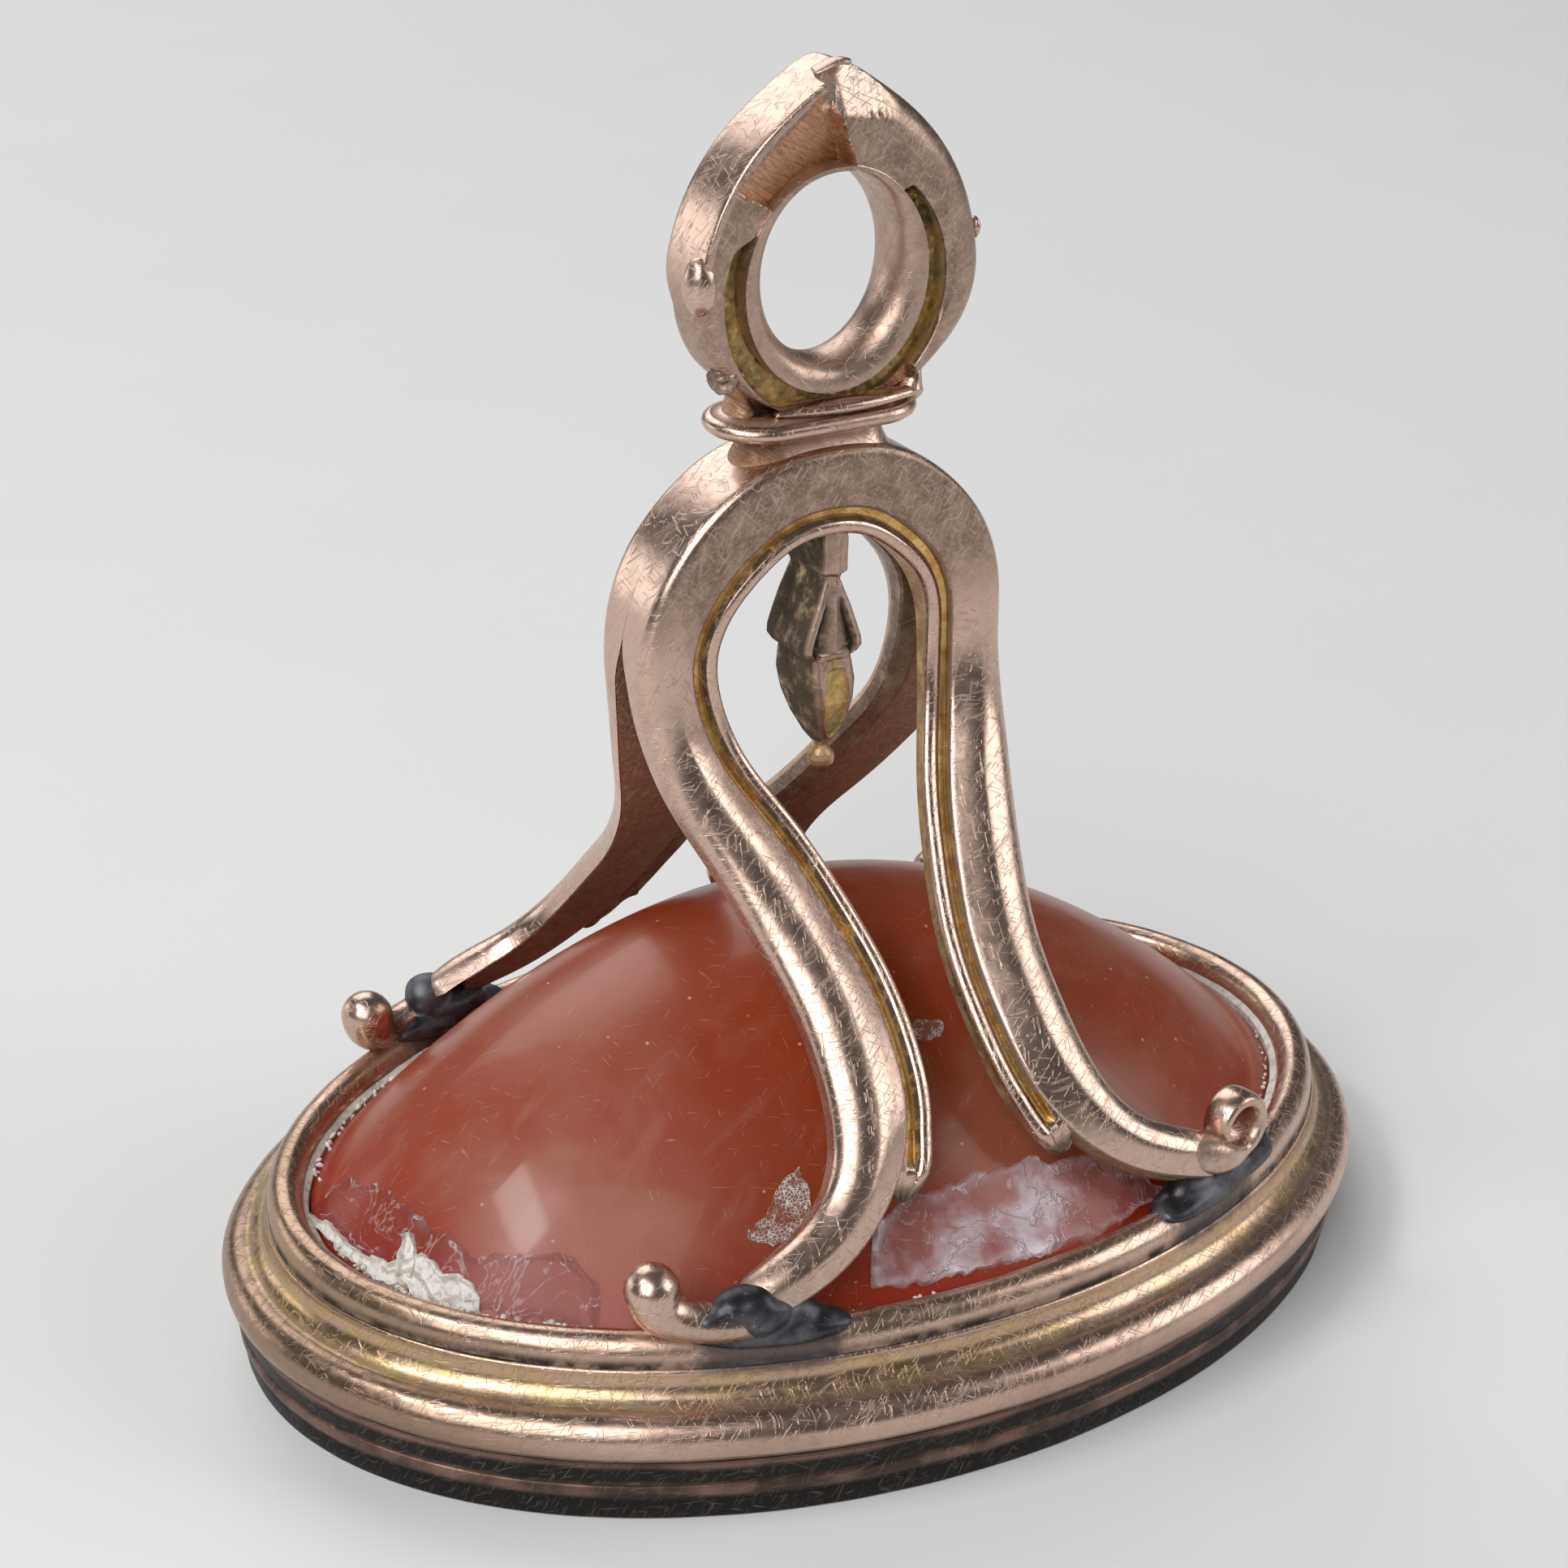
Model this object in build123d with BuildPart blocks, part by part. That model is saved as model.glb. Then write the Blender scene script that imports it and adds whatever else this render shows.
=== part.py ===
from build123d import *
from math import cos, radians, sin, sqrt
import os

os.makedirs("parts", exist_ok=True)

# A fob seal: a domed stone in an oval moulded base, an open stirrup of two arches
# over it, a small drop under the crown, and a bow for the watch chain on top.
# X runs along the oval, -Y is the front, Z is up, and Z = 0 is the face it rests on.

# Sizes in millimetres
base_length = 28.0
base_width = 20.1
rim_height = 0.5
band_height = 0.95
bead_radius = 0.56
cove_height = 0.58
lip_height = 0.15
collar_height = 0.65
crown_top = 20.05
bow_height = 7.05

# Insets from the widest line of the base, measured square to the oval
rim_inset = 0.42
band_inset = 0.28
skin_inset = 0.78
lip_inset = 0.98
lip_width = 0.34
core_inset = 1.62
cement_inset = 1.94
collar_inset = 1.03
collar_width = 0.82
stone_inset = 2.02
face_inset = 2.75
fit_clearance = 0.03
stone_clearance = 0.1

# The stone
dome_height = 5.85
face_recess = 0.12

# The stirrup
arch_reach = 4.52
head_depth = 1.08
leg_depth = 0.86
leg_width = 1.76
leg_pitch = 44.0
foot_across = 5.45
foot_overhang = 0.2
backing_thickness = 0.2
seam_gap = 0.03
rail_clearance = 0.08
groove_width = 0.17
groove_depth = 0.34
rail_thickness = 0.28
rail_crown = 0.1
rail_level_share = 0.8
leaf_length = 1.4
leaf_lean = 0.42
leaf_end_share = 0.55
toe_drop_share = 0.28

# The scrolls at the feet and their solder
scroll_reach = 2.3
scroll_rise = 0.62
scroll_radius = 0.44
scroll_ball_radius = 0.6
scroll_seat_gap = 0.1
solder_radius = 0.85
solder_height = 0.35
solder_film = 0.05

# The drop under the crown
drop_clearance = 3.1
hanger_width = 0.66
hanger_share = 0.21
drop_depth = 1.8
husk_width = 1.46
husk_share = 0.29
husk_waist_width = 0.84
bud_width = 1.2
bud_tip_width = 0.3
bead_share = 0.095

# The neck
neck_length = 3.4
neck_width = 1.5
neck_height = 0.35
neck_sink = 0.5
collar_plate_length = 4.9
collar_plate_width = 2.4
collar_plate_height = 0.55
collar_plate_edge = 0.26
saddle_length = 4.3
saddle_width = 1.25
saddle_height = 0.62

# The bow
bow_reach = 3.5
bow_thickness = 1.6
bow_bevel = 0.5
liner_reach = 2.25
liner_rise = 2.42
liner_lift = 2.7
liner_lip = 0.11
crest_reach = 1.65
crest_rise = 2.05
crest_lift = 2.88
channel_reach = 2.65
channel_rise = 2.4
channel_lift = 2.46
channel_depth = 0.42
stud_radius = 0.32
stud_stand = 0.12
stud_lift = 3.05

# Places that follow from the sizes
cut_overrun = 0.5
half_length = base_length / 2
half_width = base_width / 2
band_top = rim_height + band_height
bead_middle = band_top + bead_radius
bead_top = bead_middle + bead_radius
cove_top = bead_top + cove_height
lip_top = cove_top + lip_height
collar_top = lip_top + collar_height
arch_height = crown_top - collar_top
collar_middle_inset = collar_inset + collar_width / 2


def on_collar(across):
    """Distance from the long axis to the middle of the collar at a place along it."""
    along_share = across / (half_length - collar_middle_inset)
    return (half_width - collar_middle_inset) * sqrt(1 - along_share**2)


foot_forward = on_collar(foot_across) + foot_overhang

# The oval base: mouldings swept along the widest line
with BuildLine() as base_line:
    EllipticalCenterArc((0, 0), half_length, half_width, 0, arc_size=360)

moulding_plane = Plane(origin=(half_length, 0, 0), x_dir=(1, 0, 0), z_dir=(0, -1, 0))

# The bottom rim, which holds the edge of the seal's face
with BuildPart() as seal_rim:
    with BuildSketch():
        Ellipse(half_length - rim_inset, half_width - rim_inset)
        Ellipse(half_length - face_inset, half_width - face_inset, mode=Mode.SUBTRACT)
    extrude(amount=rim_height)
seal_rim.part.label = "seal_rim"
export_step(seal_rim.part, "parts/seal_rim.step")

# The plain band above the rim
with BuildPart() as bezel_band:
    with BuildSketch(moulding_plane):
        with BuildLine():
            Polyline(
                (-band_inset, rim_height),
                (-band_inset, band_top),
                (-skin_inset, band_top),
                (-skin_inset, rim_height),
                close=True,
            )
        make_face()
    sweep(path=base_line.line)
bezel_band.part.label = "bezel_band"
export_step(bezel_band.part, "parts/bezel_band.step")

# The moulded bezel: a half round bead, a cove and a lip
with BuildPart() as bezel_shell:
    with BuildSketch(moulding_plane):
        with BuildLine():
            bead = ThreePointArc(
                (-bead_radius, band_top),
                (0, bead_middle),
                (-bead_radius, bead_top),
            )
            cove = ThreePointArc(
                bead @ 1,
                (-(bead_radius + lip_inset) / 2 + fit_clearance, (bead_top + cove_top) / 2 - fit_clearance),
                (-lip_inset, cove_top),
            )
            Polyline(
                cove @ 1,
                (-lip_inset, lip_top),
                (-lip_inset - lip_width, lip_top),
                (-lip_inset - lip_width, cove_top),
                (-skin_inset - fit_clearance, bead_middle),
                (-skin_inset - fit_clearance, band_top),
                bead @ 0,
            )
        make_face()
    sweep(path=base_line.line)
bezel_shell.part.label = "bezel_shell"
export_step(bezel_shell.part, "parts/bezel_shell.step")

# The filling behind the mouldings
with BuildPart() as base_core:
    with BuildSketch(moulding_plane):
        with BuildLine():
            Polyline(
                (-skin_inset - 2 * fit_clearance, rim_height),
                (-skin_inset - 2 * fit_clearance, bead_middle),
                (-lip_inset - lip_width - fit_clearance, cove_top),
                (-lip_inset - lip_width - fit_clearance, lip_top),
                (-core_inset, lip_top),
                (-core_inset, rim_height),
                close=True,
            )
        make_face()
    sweep(path=base_line.line)
base_core.part.label = "base_core"
export_step(base_core.part, "parts/base_core.step")

# The cement that beds the stone
with BuildPart() as stone_cement:
    with BuildSketch(moulding_plane):
        with BuildLine():
            Polyline(
                (-core_inset, rim_height),
                (-core_inset, lip_top),
                (-cement_inset, lip_top),
                (-cement_inset, rim_height),
                close=True,
            )
        make_face()
    sweep(path=base_line.line)
stone_cement.part.label = "stone_cement"
export_step(stone_cement.part, "parts/stone_cement.step")

# The half round collar that frames the dome
with BuildPart() as setting_collar:
    with BuildSketch(moulding_plane):
        with BuildLine():
            collar_back = Polyline(
                (-collar_inset - collar_width, lip_top + lip_height),
                (-collar_inset - collar_width, lip_top),
                (-collar_inset, lip_top),
                (-collar_inset, lip_top + lip_height),
            )
            ThreePointArc(collar_back @ 0, (-collar_middle_inset, collar_top), collar_back @ 1)
        make_face()
    sweep(path=base_line.line)
setting_collar.part.label = "setting_collar"
export_step(setting_collar.part, "parts/setting_collar.step")

# The stone: a flat seal face below, a straight girdle and a high dome
stone_length = half_length - stone_inset
stone_width = half_width - stone_inset
with BuildPart() as stone_dome:
    with BuildSketch(Plane.XZ):
        with BuildLine():
            dome_line = Bezier(
                (stone_length, lip_top),
                (stone_length / 2, lip_top + dome_height),
                (0, lip_top + dome_height),
            )
            Polyline(dome_line @ 1, (0, lip_top), dome_line @ 0)
        make_face()
    revolve(axis=Axis.Z)
    scale(by=(1, stone_width / stone_length, 1))

with BuildPart() as seal_stone:
    with BuildSketch(Plane.XY.offset(face_recess)):
        Ellipse(half_length - face_inset - stone_clearance, half_width - face_inset - stone_clearance)
    extrude(amount=rim_height - face_recess)
    with BuildSketch(Plane.XY.offset(rim_height)):
        Ellipse(stone_length, stone_width)
    extrude(amount=lip_top - rim_height)
    add(stone_dome.part)
seal_stone.part.label = "seal_stone"
export_step(seal_stone.part, "parts/seal_stone.step")

# The line of a leg, from the crown to the toe. Each row: across, forward and up as
# shares of the arch, then the shares of the leg's width, of its roundness and its pitch.
leg_shares = (
    (0.000, 0.000, 0.958, 0.760, 0.00, 0.00),
    (0.310, 0.000, 0.944, 0.810, 0.00, 0.00),
    (0.550, 0.000, 0.901, 0.820, 0.00, 0.00),
    (0.741, 0.000, 0.840, 0.790, 0.10, 0.00),
    (0.850, 0.002, 0.755, 0.750, 0.55, 0.02),
    (0.851, 0.012, 0.680, 0.750, 0.90, 0.18),
    (0.783, 0.079, 0.587, 0.830, 1.00, 0.70),
    (0.670, 0.199, 0.510, 0.930, 1.00, 0.86),
    (0.558, 0.367, 0.422, 0.980, 1.00, 0.95),
    (0.493, 0.533, 0.348, 1.000, 1.00, 1.00),
    (0.491, 0.687, 0.280, 1.000, 1.00, 0.98),
    (0.538, 0.821, 0.211, 0.955, 1.00, 0.82),
    (0.664, 0.915, 0.151, 0.810, 1.00, 0.73),
    (0.874, 0.976, 0.104, 0.710, 1.00, 0.77),
    (foot_across / arch_reach, 1.000, 0.068, 0.600, 1.00, 0.91),
)
leaf_root_row = 11
crown_line_share = leg_shares[0][2]

# Shares of the width and depth of the tube at which its front turns, at the head and leg
ridge_shares = (0.45, -0.1)
corner_shares = (0.42, 0.86)
lip_shares = (0.1, 0.42)


def blend(pair, share):
    """A value between the two of a pair."""
    return pair[0] + share * (pair[1] - pair[0])


leg_points = []
for across, forward, up, width, roundness, pitch in leg_shares:
    leg_points.append(
        Vector(
            across * arch_reach,
            -head_depth - forward * (foot_forward - head_depth),
            collar_top + up * arch_height,
        )
    )
leg_line = Spline(leg_points, tangents=[(1, 0, 0), (1, 0, -toe_drop_share)])


def leg_station(row):
    """The plane across the leg at a row, with its x outwards and its y to the front."""
    tangent = leg_line % leg_line.param_at_point(leg_points[row])
    angle = radians(leg_pitch * leg_shares[row][5])
    front = Vector(0, -cos(angle), sin(angle))
    outward = front.cross(tangent).normalized()
    return Plane(origin=leg_points[row], x_dir=outward, z_dir=tangent)


def tube_sizes(row):
    """Half width, depth and roundness of the tube at a row."""
    share = leg_shares[row][4]
    depth = blend((head_depth, leg_depth), share) - seam_gap - backing_thickness - fit_clearance
    return leg_width * leg_shares[row][3] / 2, depth, share


# The front arch: a rounded tube from crown to toe, mirrored to the other leg
with BuildPart() as front_arch:
    for row in range(len(leg_shares)):
        half, depth, share = tube_sizes(row)
        ridge = half * blend(ridge_shares, share)
        corner = depth * blend(corner_shares, share)
        lip = depth * blend(lip_shares, share)
        with BuildSketch(leg_station(row)):
            with BuildLine():
                outer = EllipticalCenterArc((ridge, -corner), half - ridge, corner, 0, arc_size=90)
                inner = EllipticalCenterArc((ridge, -lip), half + ridge, lip, 90, arc_size=90)
                Polyline(inner @ 1, (-half, -depth), (half, -depth), outer @ 0)
            make_face()
    loft()
    mirror(about=Plane.YZ)
front_arch.part.label = "front_arch"
export_step(front_arch.part, "parts/front_arch.step")

# The flat strip that closes the back of the tube
with BuildPart() as front_arch_backing:
    for row in range(len(leg_shares)):
        half, depth, share = tube_sizes(row)
        top = -depth - fit_clearance
        with BuildSketch(leg_station(row)):
            with BuildLine():
                Polyline(
                    (-half, top),
                    (half, top),
                    (half, top - backing_thickness),
                    (-half, top - backing_thickness),
                    close=True,
                )
            make_face()
    loft()
    mirror(about=Plane.YZ)
    split(bisect_by=Plane.XZ.offset(seam_gap))
front_arch_backing.part.label = "front_arch_backing"
export_step(front_arch_backing.part, "parts/front_arch_backing.step")


def rail_outline(row, edge, size):
    """The strip on edge beside the tube: a web, and a thin rail across the groove."""
    half, depth, share = tube_sizes(row)
    top = -rail_level_share * depth * blend(lip_shares, share)
    rail_outer = edge - groove_width * size
    rail_inner = rail_outer - rail_thickness * size
    return (
        (rail_outer, top - groove_depth),
        (rail_outer, top - rail_crown),
        (rail_outer - rail_crown * size, top),
        (rail_inner + rail_crown * size, top),
        (rail_inner, top - rail_crown),
        (rail_inner, -depth),
        (edge, -depth),
        (edge, top - groove_depth),
    )


# The strip along the inner edge, which ends in a leaf beside the leg
with BuildPart() as front_arch_lining:
    for row in range(leaf_root_row + 1):
        strip_edge = -tube_sizes(row)[0] - rail_clearance
        with BuildSketch(leg_station(row)):
            with BuildLine():
                Polyline(rail_outline(row, strip_edge, 1), close=True)
            make_face()
    root_plane = leg_station(leaf_root_row)
    leaf_direction = (root_plane.z_dir - root_plane.x_dir * leaf_lean / 2).normalized()
    leaf_plane = Plane(
        origin=root_plane.origin + leaf_direction * leaf_length,
        x_dir=root_plane.y_dir.cross(leaf_direction),
        z_dir=leaf_direction,
    )
    with BuildSketch(leaf_plane):
        with BuildLine():
            Polyline(rail_outline(leaf_root_row, strip_edge + groove_width, leaf_end_share), close=True)
        make_face()
    loft()
    mirror(about=Plane.YZ)
front_arch_lining.part.label = "front_arch_lining"
export_step(front_arch_lining.part, "parts/front_arch_lining.step")

# The rear arch is the same three pieces, turned to face the back
for name, piece in (("arch", front_arch), ("arch_backing", front_arch_backing), ("arch_lining", front_arch_lining)):
    with BuildPart() as rear_piece:
        mirror(piece.part, about=Plane.XZ)
    rear_piece.part.label = "rear_" + name
    export_step(rear_piece.part, "parts/rear_" + name + ".step")

# A scroll: a round bar from the toe along the collar that turns up into a ball
toe_plane = leg_station(len(leg_shares) - 1)
toe_half, toe_depth, toe_share = tube_sizes(len(leg_shares) - 1)
scroll_start = toe_plane.origin - toe_plane.y_dir * toe_depth / 2 + toe_plane.z_dir * fit_clearance
scroll_low = collar_top + scroll_radius + scroll_seat_gap
scroll_across = foot_across + scroll_reach
scroll_middle = foot_across + scroll_reach / 2
scroll_end = Vector(scroll_across, -on_collar(scroll_across) - foot_overhang, scroll_low + scroll_rise)
scroll_bend = Vector(scroll_middle, -on_collar(scroll_middle) - foot_overhang, scroll_low)
scroll_line = Spline(scroll_start, scroll_bend, scroll_end, tangents=[toe_plane.z_dir, (0, 0, 1)])
with BuildPart() as scroll:
    with BuildSketch(Plane(origin=scroll_start, z_dir=toe_plane.z_dir)):
        Circle(scroll_radius)
    sweep(path=scroll_line)
    with Locations(scroll_end):
        Sphere(scroll_ball_radius)

scroll_names = {
    "front_right_scroll": (False, False),
    "front_left_scroll": (True, False),
    "rear_right_scroll": (False, True),
    "rear_left_scroll": (True, True),
}
for name, (to_left, to_rear) in scroll_names.items():
    placed_scroll = scroll.part
    if to_left:
        placed_scroll = mirror(placed_scroll, about=Plane.YZ)
    if to_rear:
        placed_scroll = mirror(placed_scroll, about=Plane.XZ)
    with BuildPart() as foot_scroll:
        add(placed_scroll)
    foot_scroll.part.label = name
    export_step(foot_scroll.part, "parts/" + name + ".step")

# Soft solder that floods the collar under each toe
with BuildPart() as solder_pool:
    with BuildSketch(Plane.XY.offset(collar_top + solder_film - solder_height)):
        with Locations((foot_across, -on_collar(foot_across))):
            Circle(solder_radius)
    extrude(amount=solder_height)
    add(setting_collar.part, mode=Mode.SUBTRACT)

with BuildPart() as foot_solder:
    add(solder_pool.part)
    mirror(about=Plane.YZ)
    mirror(about=Plane.XZ)
foot_solder.part.label = "foot_solder"
export_step(foot_solder.part, "parts/foot_solder.step")

# The drop fills the room under the crown, down to its clearance from the dome.
# Its hanger is a block between the two arches.
hanger_top = crown_top - arch_height * (1 - crown_line_share)
hanger_top -= leg_width * leg_shares[0][3] / 2 + rail_clearance + groove_width + rail_thickness + fit_clearance
drop_height = hanger_top - lip_top - dome_height - drop_clearance
hanger_height = hanger_share * drop_height
hanger_bottom = hanger_top - hanger_height
with BuildPart() as drop_hanger:
    with BuildSketch(Plane.XY.offset(hanger_bottom)):
        Rectangle(hanger_width, drop_depth)
    extrude(amount=hanger_height)
drop_hanger.part.label = "drop_hanger"
export_step(drop_hanger.part, "parts/drop_hanger.step")

# The husk flares below the hanger
husk_bottom = hanger_bottom - husk_share * drop_height
with BuildPart() as drop_husk:
    with BuildSketch(Plane.XY.offset(hanger_bottom)):
        Rectangle(hanger_width, husk_waist_width)
    with BuildSketch(Plane.XY.offset(husk_bottom)):
        Rectangle(husk_width, drop_depth)
    loft()
drop_husk.part.label = "drop_husk"
export_step(drop_husk.part, "parts/drop_husk.step")

# The bud hangs from the husk and narrows to its tip
bead_tip_radius = bead_share * drop_height / 2
bud_bottom = hanger_top - drop_height + 2 * bead_tip_radius
with BuildPart() as drop_bud:
    with BuildSketch(Plane.XY.offset(husk_bottom)):
        Rectangle(bud_width, husk_width)
    with BuildSketch(Plane.XY.offset(bud_bottom)):
        Rectangle(bud_tip_width, bud_tip_width)
    loft()
drop_bud.part.label = "drop_bud"
export_step(drop_bud.part, "parts/drop_bud.step")

# The bead at the tip of the bud
with BuildPart() as drop_bead:
    with Locations((0, 0, bud_bottom - bead_tip_radius)):
        Sphere(bead_tip_radius)
drop_bead.part.label = "drop_bead"
export_step(drop_bead.part, "parts/drop_bead.step")

# The lower neck sits on the crown of the arches
plate_bottom = crown_top + neck_height
plate_top = plate_bottom + collar_plate_height
with BuildPart() as neck_lower:
    with BuildSketch(Plane.XY.offset(crown_top - neck_sink)):
        SlotOverall(neck_length, neck_width)
    extrude(amount=neck_sink + neck_height)
    for arch_piece in (front_arch, front_arch_backing):
        add(arch_piece.part, mode=Mode.SUBTRACT)
        add(mirror(arch_piece.part, about=Plane.XZ, mode=Mode.PRIVATE), mode=Mode.SUBTRACT)
neck_lower.part.label = "neck_lower"
export_step(neck_lower.part, "parts/neck_lower.step")

# The plate round the neck, with a rounded edge
with BuildPart() as neck_collar:
    with BuildSketch(Plane.XY.offset(plate_bottom)):
        SlotOverall(collar_plate_length, collar_plate_width)
    extrude(amount=collar_plate_height)
    fillet(neck_collar.edges().group_by(Axis.Z)[0], collar_plate_edge)
    fillet(neck_collar.edges().group_by(Axis.Z)[-1], collar_plate_edge)
neck_collar.part.label = "neck_collar"
export_step(neck_collar.part, "parts/neck_collar.step")

# The outline of the bow, a pointed oval, as shares of its reach and height
bow_outline_shares = (
    (0.35, 0.000),
    (0.69, 0.075),
    (0.93, 0.190),
    (1.00, 0.345),
    (0.94, 0.540),
    (0.78, 0.700),
    (0.53, 0.835),
    (0.26, 0.935),
    (0.00, 1.000),
)
bow_middle = plate_top + liner_lift


def bow_points(size):
    """The right side of the outline, drawn in towards the middle of the bow by a size below 1."""
    points = []
    for x_share, z_share in bow_outline_shares:
        height = plate_top + z_share * bow_height
        points.append((x_share * bow_reach * size, bow_middle + (height - bow_middle) * size))
    return points


bow_face_size = 1 - bow_bevel / bow_reach
with BuildPart() as bow_front_shell:
    with BuildSketch(Plane.XZ) as bow_outline:
        with BuildLine():
            bow_side = Spline(bow_points(1))
            Line(bow_side @ 1, (0, (bow_side @ 0).Y))
            Line((0, (bow_side @ 0).Y), bow_side @ 0)
        make_face()
        mirror(about=Plane.YZ)
    extrude(amount=bow_thickness / 2 - bow_bevel)
    with BuildSketch(Plane.XZ.offset(bow_thickness / 2 - bow_bevel)):
        add(bow_outline.sketch_local)
    with BuildSketch(Plane.XZ.offset(bow_thickness / 2)):
        with BuildLine():
            face_side = Spline(bow_points(bow_face_size))
            Line(face_side @ 1, (0, (face_side @ 0).Y))
            Line((0, (face_side @ 0).Y), face_side @ 0)
        make_face()
        mirror(about=Plane.YZ)
    loft()
    with BuildSketch(Plane.XZ):
        with Locations((0, bow_middle)):
            Ellipse(liner_reach, liner_rise)
    extrude(amount=bow_thickness / 2, mode=Mode.SUBTRACT)
    with BuildSketch(Plane.XZ.offset(bow_thickness / 2 - channel_depth)):
        with Locations((0, plate_top + channel_lift)):
            Ellipse(channel_reach, channel_rise)
        with Locations((0, bow_middle)):
            Ellipse(liner_reach, liner_rise, mode=Mode.SUBTRACT)
    extrude(amount=channel_depth + cut_overrun, mode=Mode.SUBTRACT)
    with BuildSketch(Plane.YZ.offset(bow_reach - cut_overrun)):
        with Locations((0, plate_top + stud_lift)):
            Circle(stud_radius + fit_clearance)
    extrude(amount=bow_reach, mode=Mode.SUBTRACT)
    with BuildSketch(Plane.YZ.offset(cut_overrun - bow_reach)):
        with Locations((0, plate_top + stud_lift)):
            Circle(stud_radius + fit_clearance)
    extrude(amount=-bow_reach, mode=Mode.SUBTRACT)
bow_front_shell.part.label = "bow_front_shell"
export_step(bow_front_shell.part, "parts/bow_front_shell.step")

with BuildPart() as bow_rear_shell:
    mirror(bow_front_shell.part, about=Plane.XZ)
bow_rear_shell.part.label = "bow_rear_shell"
export_step(bow_rear_shell.part, "parts/bow_rear_shell.step")

# The upper neck is a saddle between the plate and the round foot of the bow
with BuildPart() as neck_upper:
    with BuildSketch(Plane.XY.offset(plate_top)):
        SlotOverall(saddle_length, saddle_width)
    extrude(amount=saddle_height)
    with BuildSketch(Plane.XZ):
        with Locations((0, bow_middle)):
            Ellipse(liner_reach, liner_rise)
    extrude(amount=bow_thickness, both=True, mode=Mode.SUBTRACT)
    add(bow_front_shell.part, mode=Mode.SUBTRACT)
    add(bow_rear_shell.part, mode=Mode.SUBTRACT)
neck_upper.part.label = "neck_upper"
export_step(neck_upper.part, "parts/neck_upper.step")

# The liner: a ring whose inside swells to a crest half way through the hole
with BuildPart() as bow_liner:
    with BuildSketch(Plane.XZ):
        with Locations((0, bow_middle)):
            Ellipse(liner_reach - fit_clearance, liner_rise - fit_clearance)
    extrude(amount=bow_thickness / 2, both=True)
    for depth in (-bow_thickness / 2, 0, bow_thickness / 2):
        with BuildSketch(Plane.XZ.offset(depth)):
            if depth:
                with Locations((0, bow_middle)):
                    Ellipse(liner_reach - liner_lip, liner_rise - liner_lip)
            else:
                with Locations((0, plate_top + crest_lift)):
                    Ellipse(crest_reach, crest_rise)
    loft(mode=Mode.SUBTRACT)
bow_liner.part.label = "bow_liner"
export_step(bow_liner.part, "parts/bow_liner.step")

# Two studs at the widest place of the bow
with BuildPart() as bow_studs:
    for side in (1, -1):
        with BuildSketch(Plane.YZ.offset(side * (bow_reach - cut_overrun))):
            with Locations((0, plate_top + stud_lift)):
                Circle(stud_radius)
        extrude(amount=side * (cut_overrun + stud_stand))
bow_studs.part.label = "bow_studs"
export_step(bow_studs.part, "parts/bow_studs.step")
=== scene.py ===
import math
from collections import namedtuple

import bpy
import bmesh
import numpy as np
from bpy.props import FloatProperty, FloatVectorProperty, IntProperty, PointerProperty
from mathutils import Matrix, Vector, noise


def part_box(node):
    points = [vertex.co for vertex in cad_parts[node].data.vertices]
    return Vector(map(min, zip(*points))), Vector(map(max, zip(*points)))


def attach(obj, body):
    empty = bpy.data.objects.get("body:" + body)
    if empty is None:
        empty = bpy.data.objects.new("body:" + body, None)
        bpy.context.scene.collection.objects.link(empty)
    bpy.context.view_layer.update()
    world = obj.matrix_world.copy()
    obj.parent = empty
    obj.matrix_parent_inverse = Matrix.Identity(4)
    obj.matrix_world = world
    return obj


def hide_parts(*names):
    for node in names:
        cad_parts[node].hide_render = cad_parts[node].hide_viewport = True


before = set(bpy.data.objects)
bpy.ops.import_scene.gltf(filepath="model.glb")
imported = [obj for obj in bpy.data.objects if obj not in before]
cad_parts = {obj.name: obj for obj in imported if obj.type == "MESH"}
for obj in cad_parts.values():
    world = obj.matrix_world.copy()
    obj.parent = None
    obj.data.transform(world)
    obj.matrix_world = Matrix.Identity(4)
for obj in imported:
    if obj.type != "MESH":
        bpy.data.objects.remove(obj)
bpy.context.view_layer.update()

bl_info = {
    "name": "Pocket watch fob seal",
    "version": (1, 0, 0),
    "blender": (4, 5, 0),
    "location": "3D View > Sidebar > Fob seal",
    "description": "Builds the looks of a gold fob seal with a domed stone",
    "category": "Object",
}

MM = 0.001


def box_in_mm(node):
    """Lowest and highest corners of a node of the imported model, in millimetres."""
    return [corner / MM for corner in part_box(node)]


BASE_HIGH = box_in_mm("bezel_shell")[1]
COLLAR_LOW, COLLAR_HIGH = box_in_mm("setting_collar")
STONE_HIGH = box_in_mm("seal_stone")[1]
PLATE_LOW, PLATE_HIGH = box_in_mm("neck_collar")
LINER_LOW, LINER_HIGH = box_in_mm("bow_liner")
HALF_LENGTH, HALF_WIDTH = BASE_HIGH.x, BASE_HIGH.y
STONE_LENGTH, STONE_WIDTH = STONE_HIGH.x, STONE_HIGH.y
COLLAR_TOP = COLLAR_HIGH.z
PLATE_TOP = PLATE_HIGH.z
# The crown ends below the plate, and the neck bridges the gap
CROWN_TOP = PLATE_LOW.z - 0.35
BOW_MIDDLE = (LINER_LOW.z + LINER_HIGH.z) / 2


# ---------------------------------------------------------------- sizes and colours


def length_setting(name, description, default, **limits):
    return FloatProperty(name=name, description=description + ", in mm", default=default, **limits)


def colour_setting(name, description, default):
    kind = {"subtype": "COLOR", "size": 3, "min": 0, "max": 1}
    return FloatVectorProperty(name=name, description=description, default=default, **kind)


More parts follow.
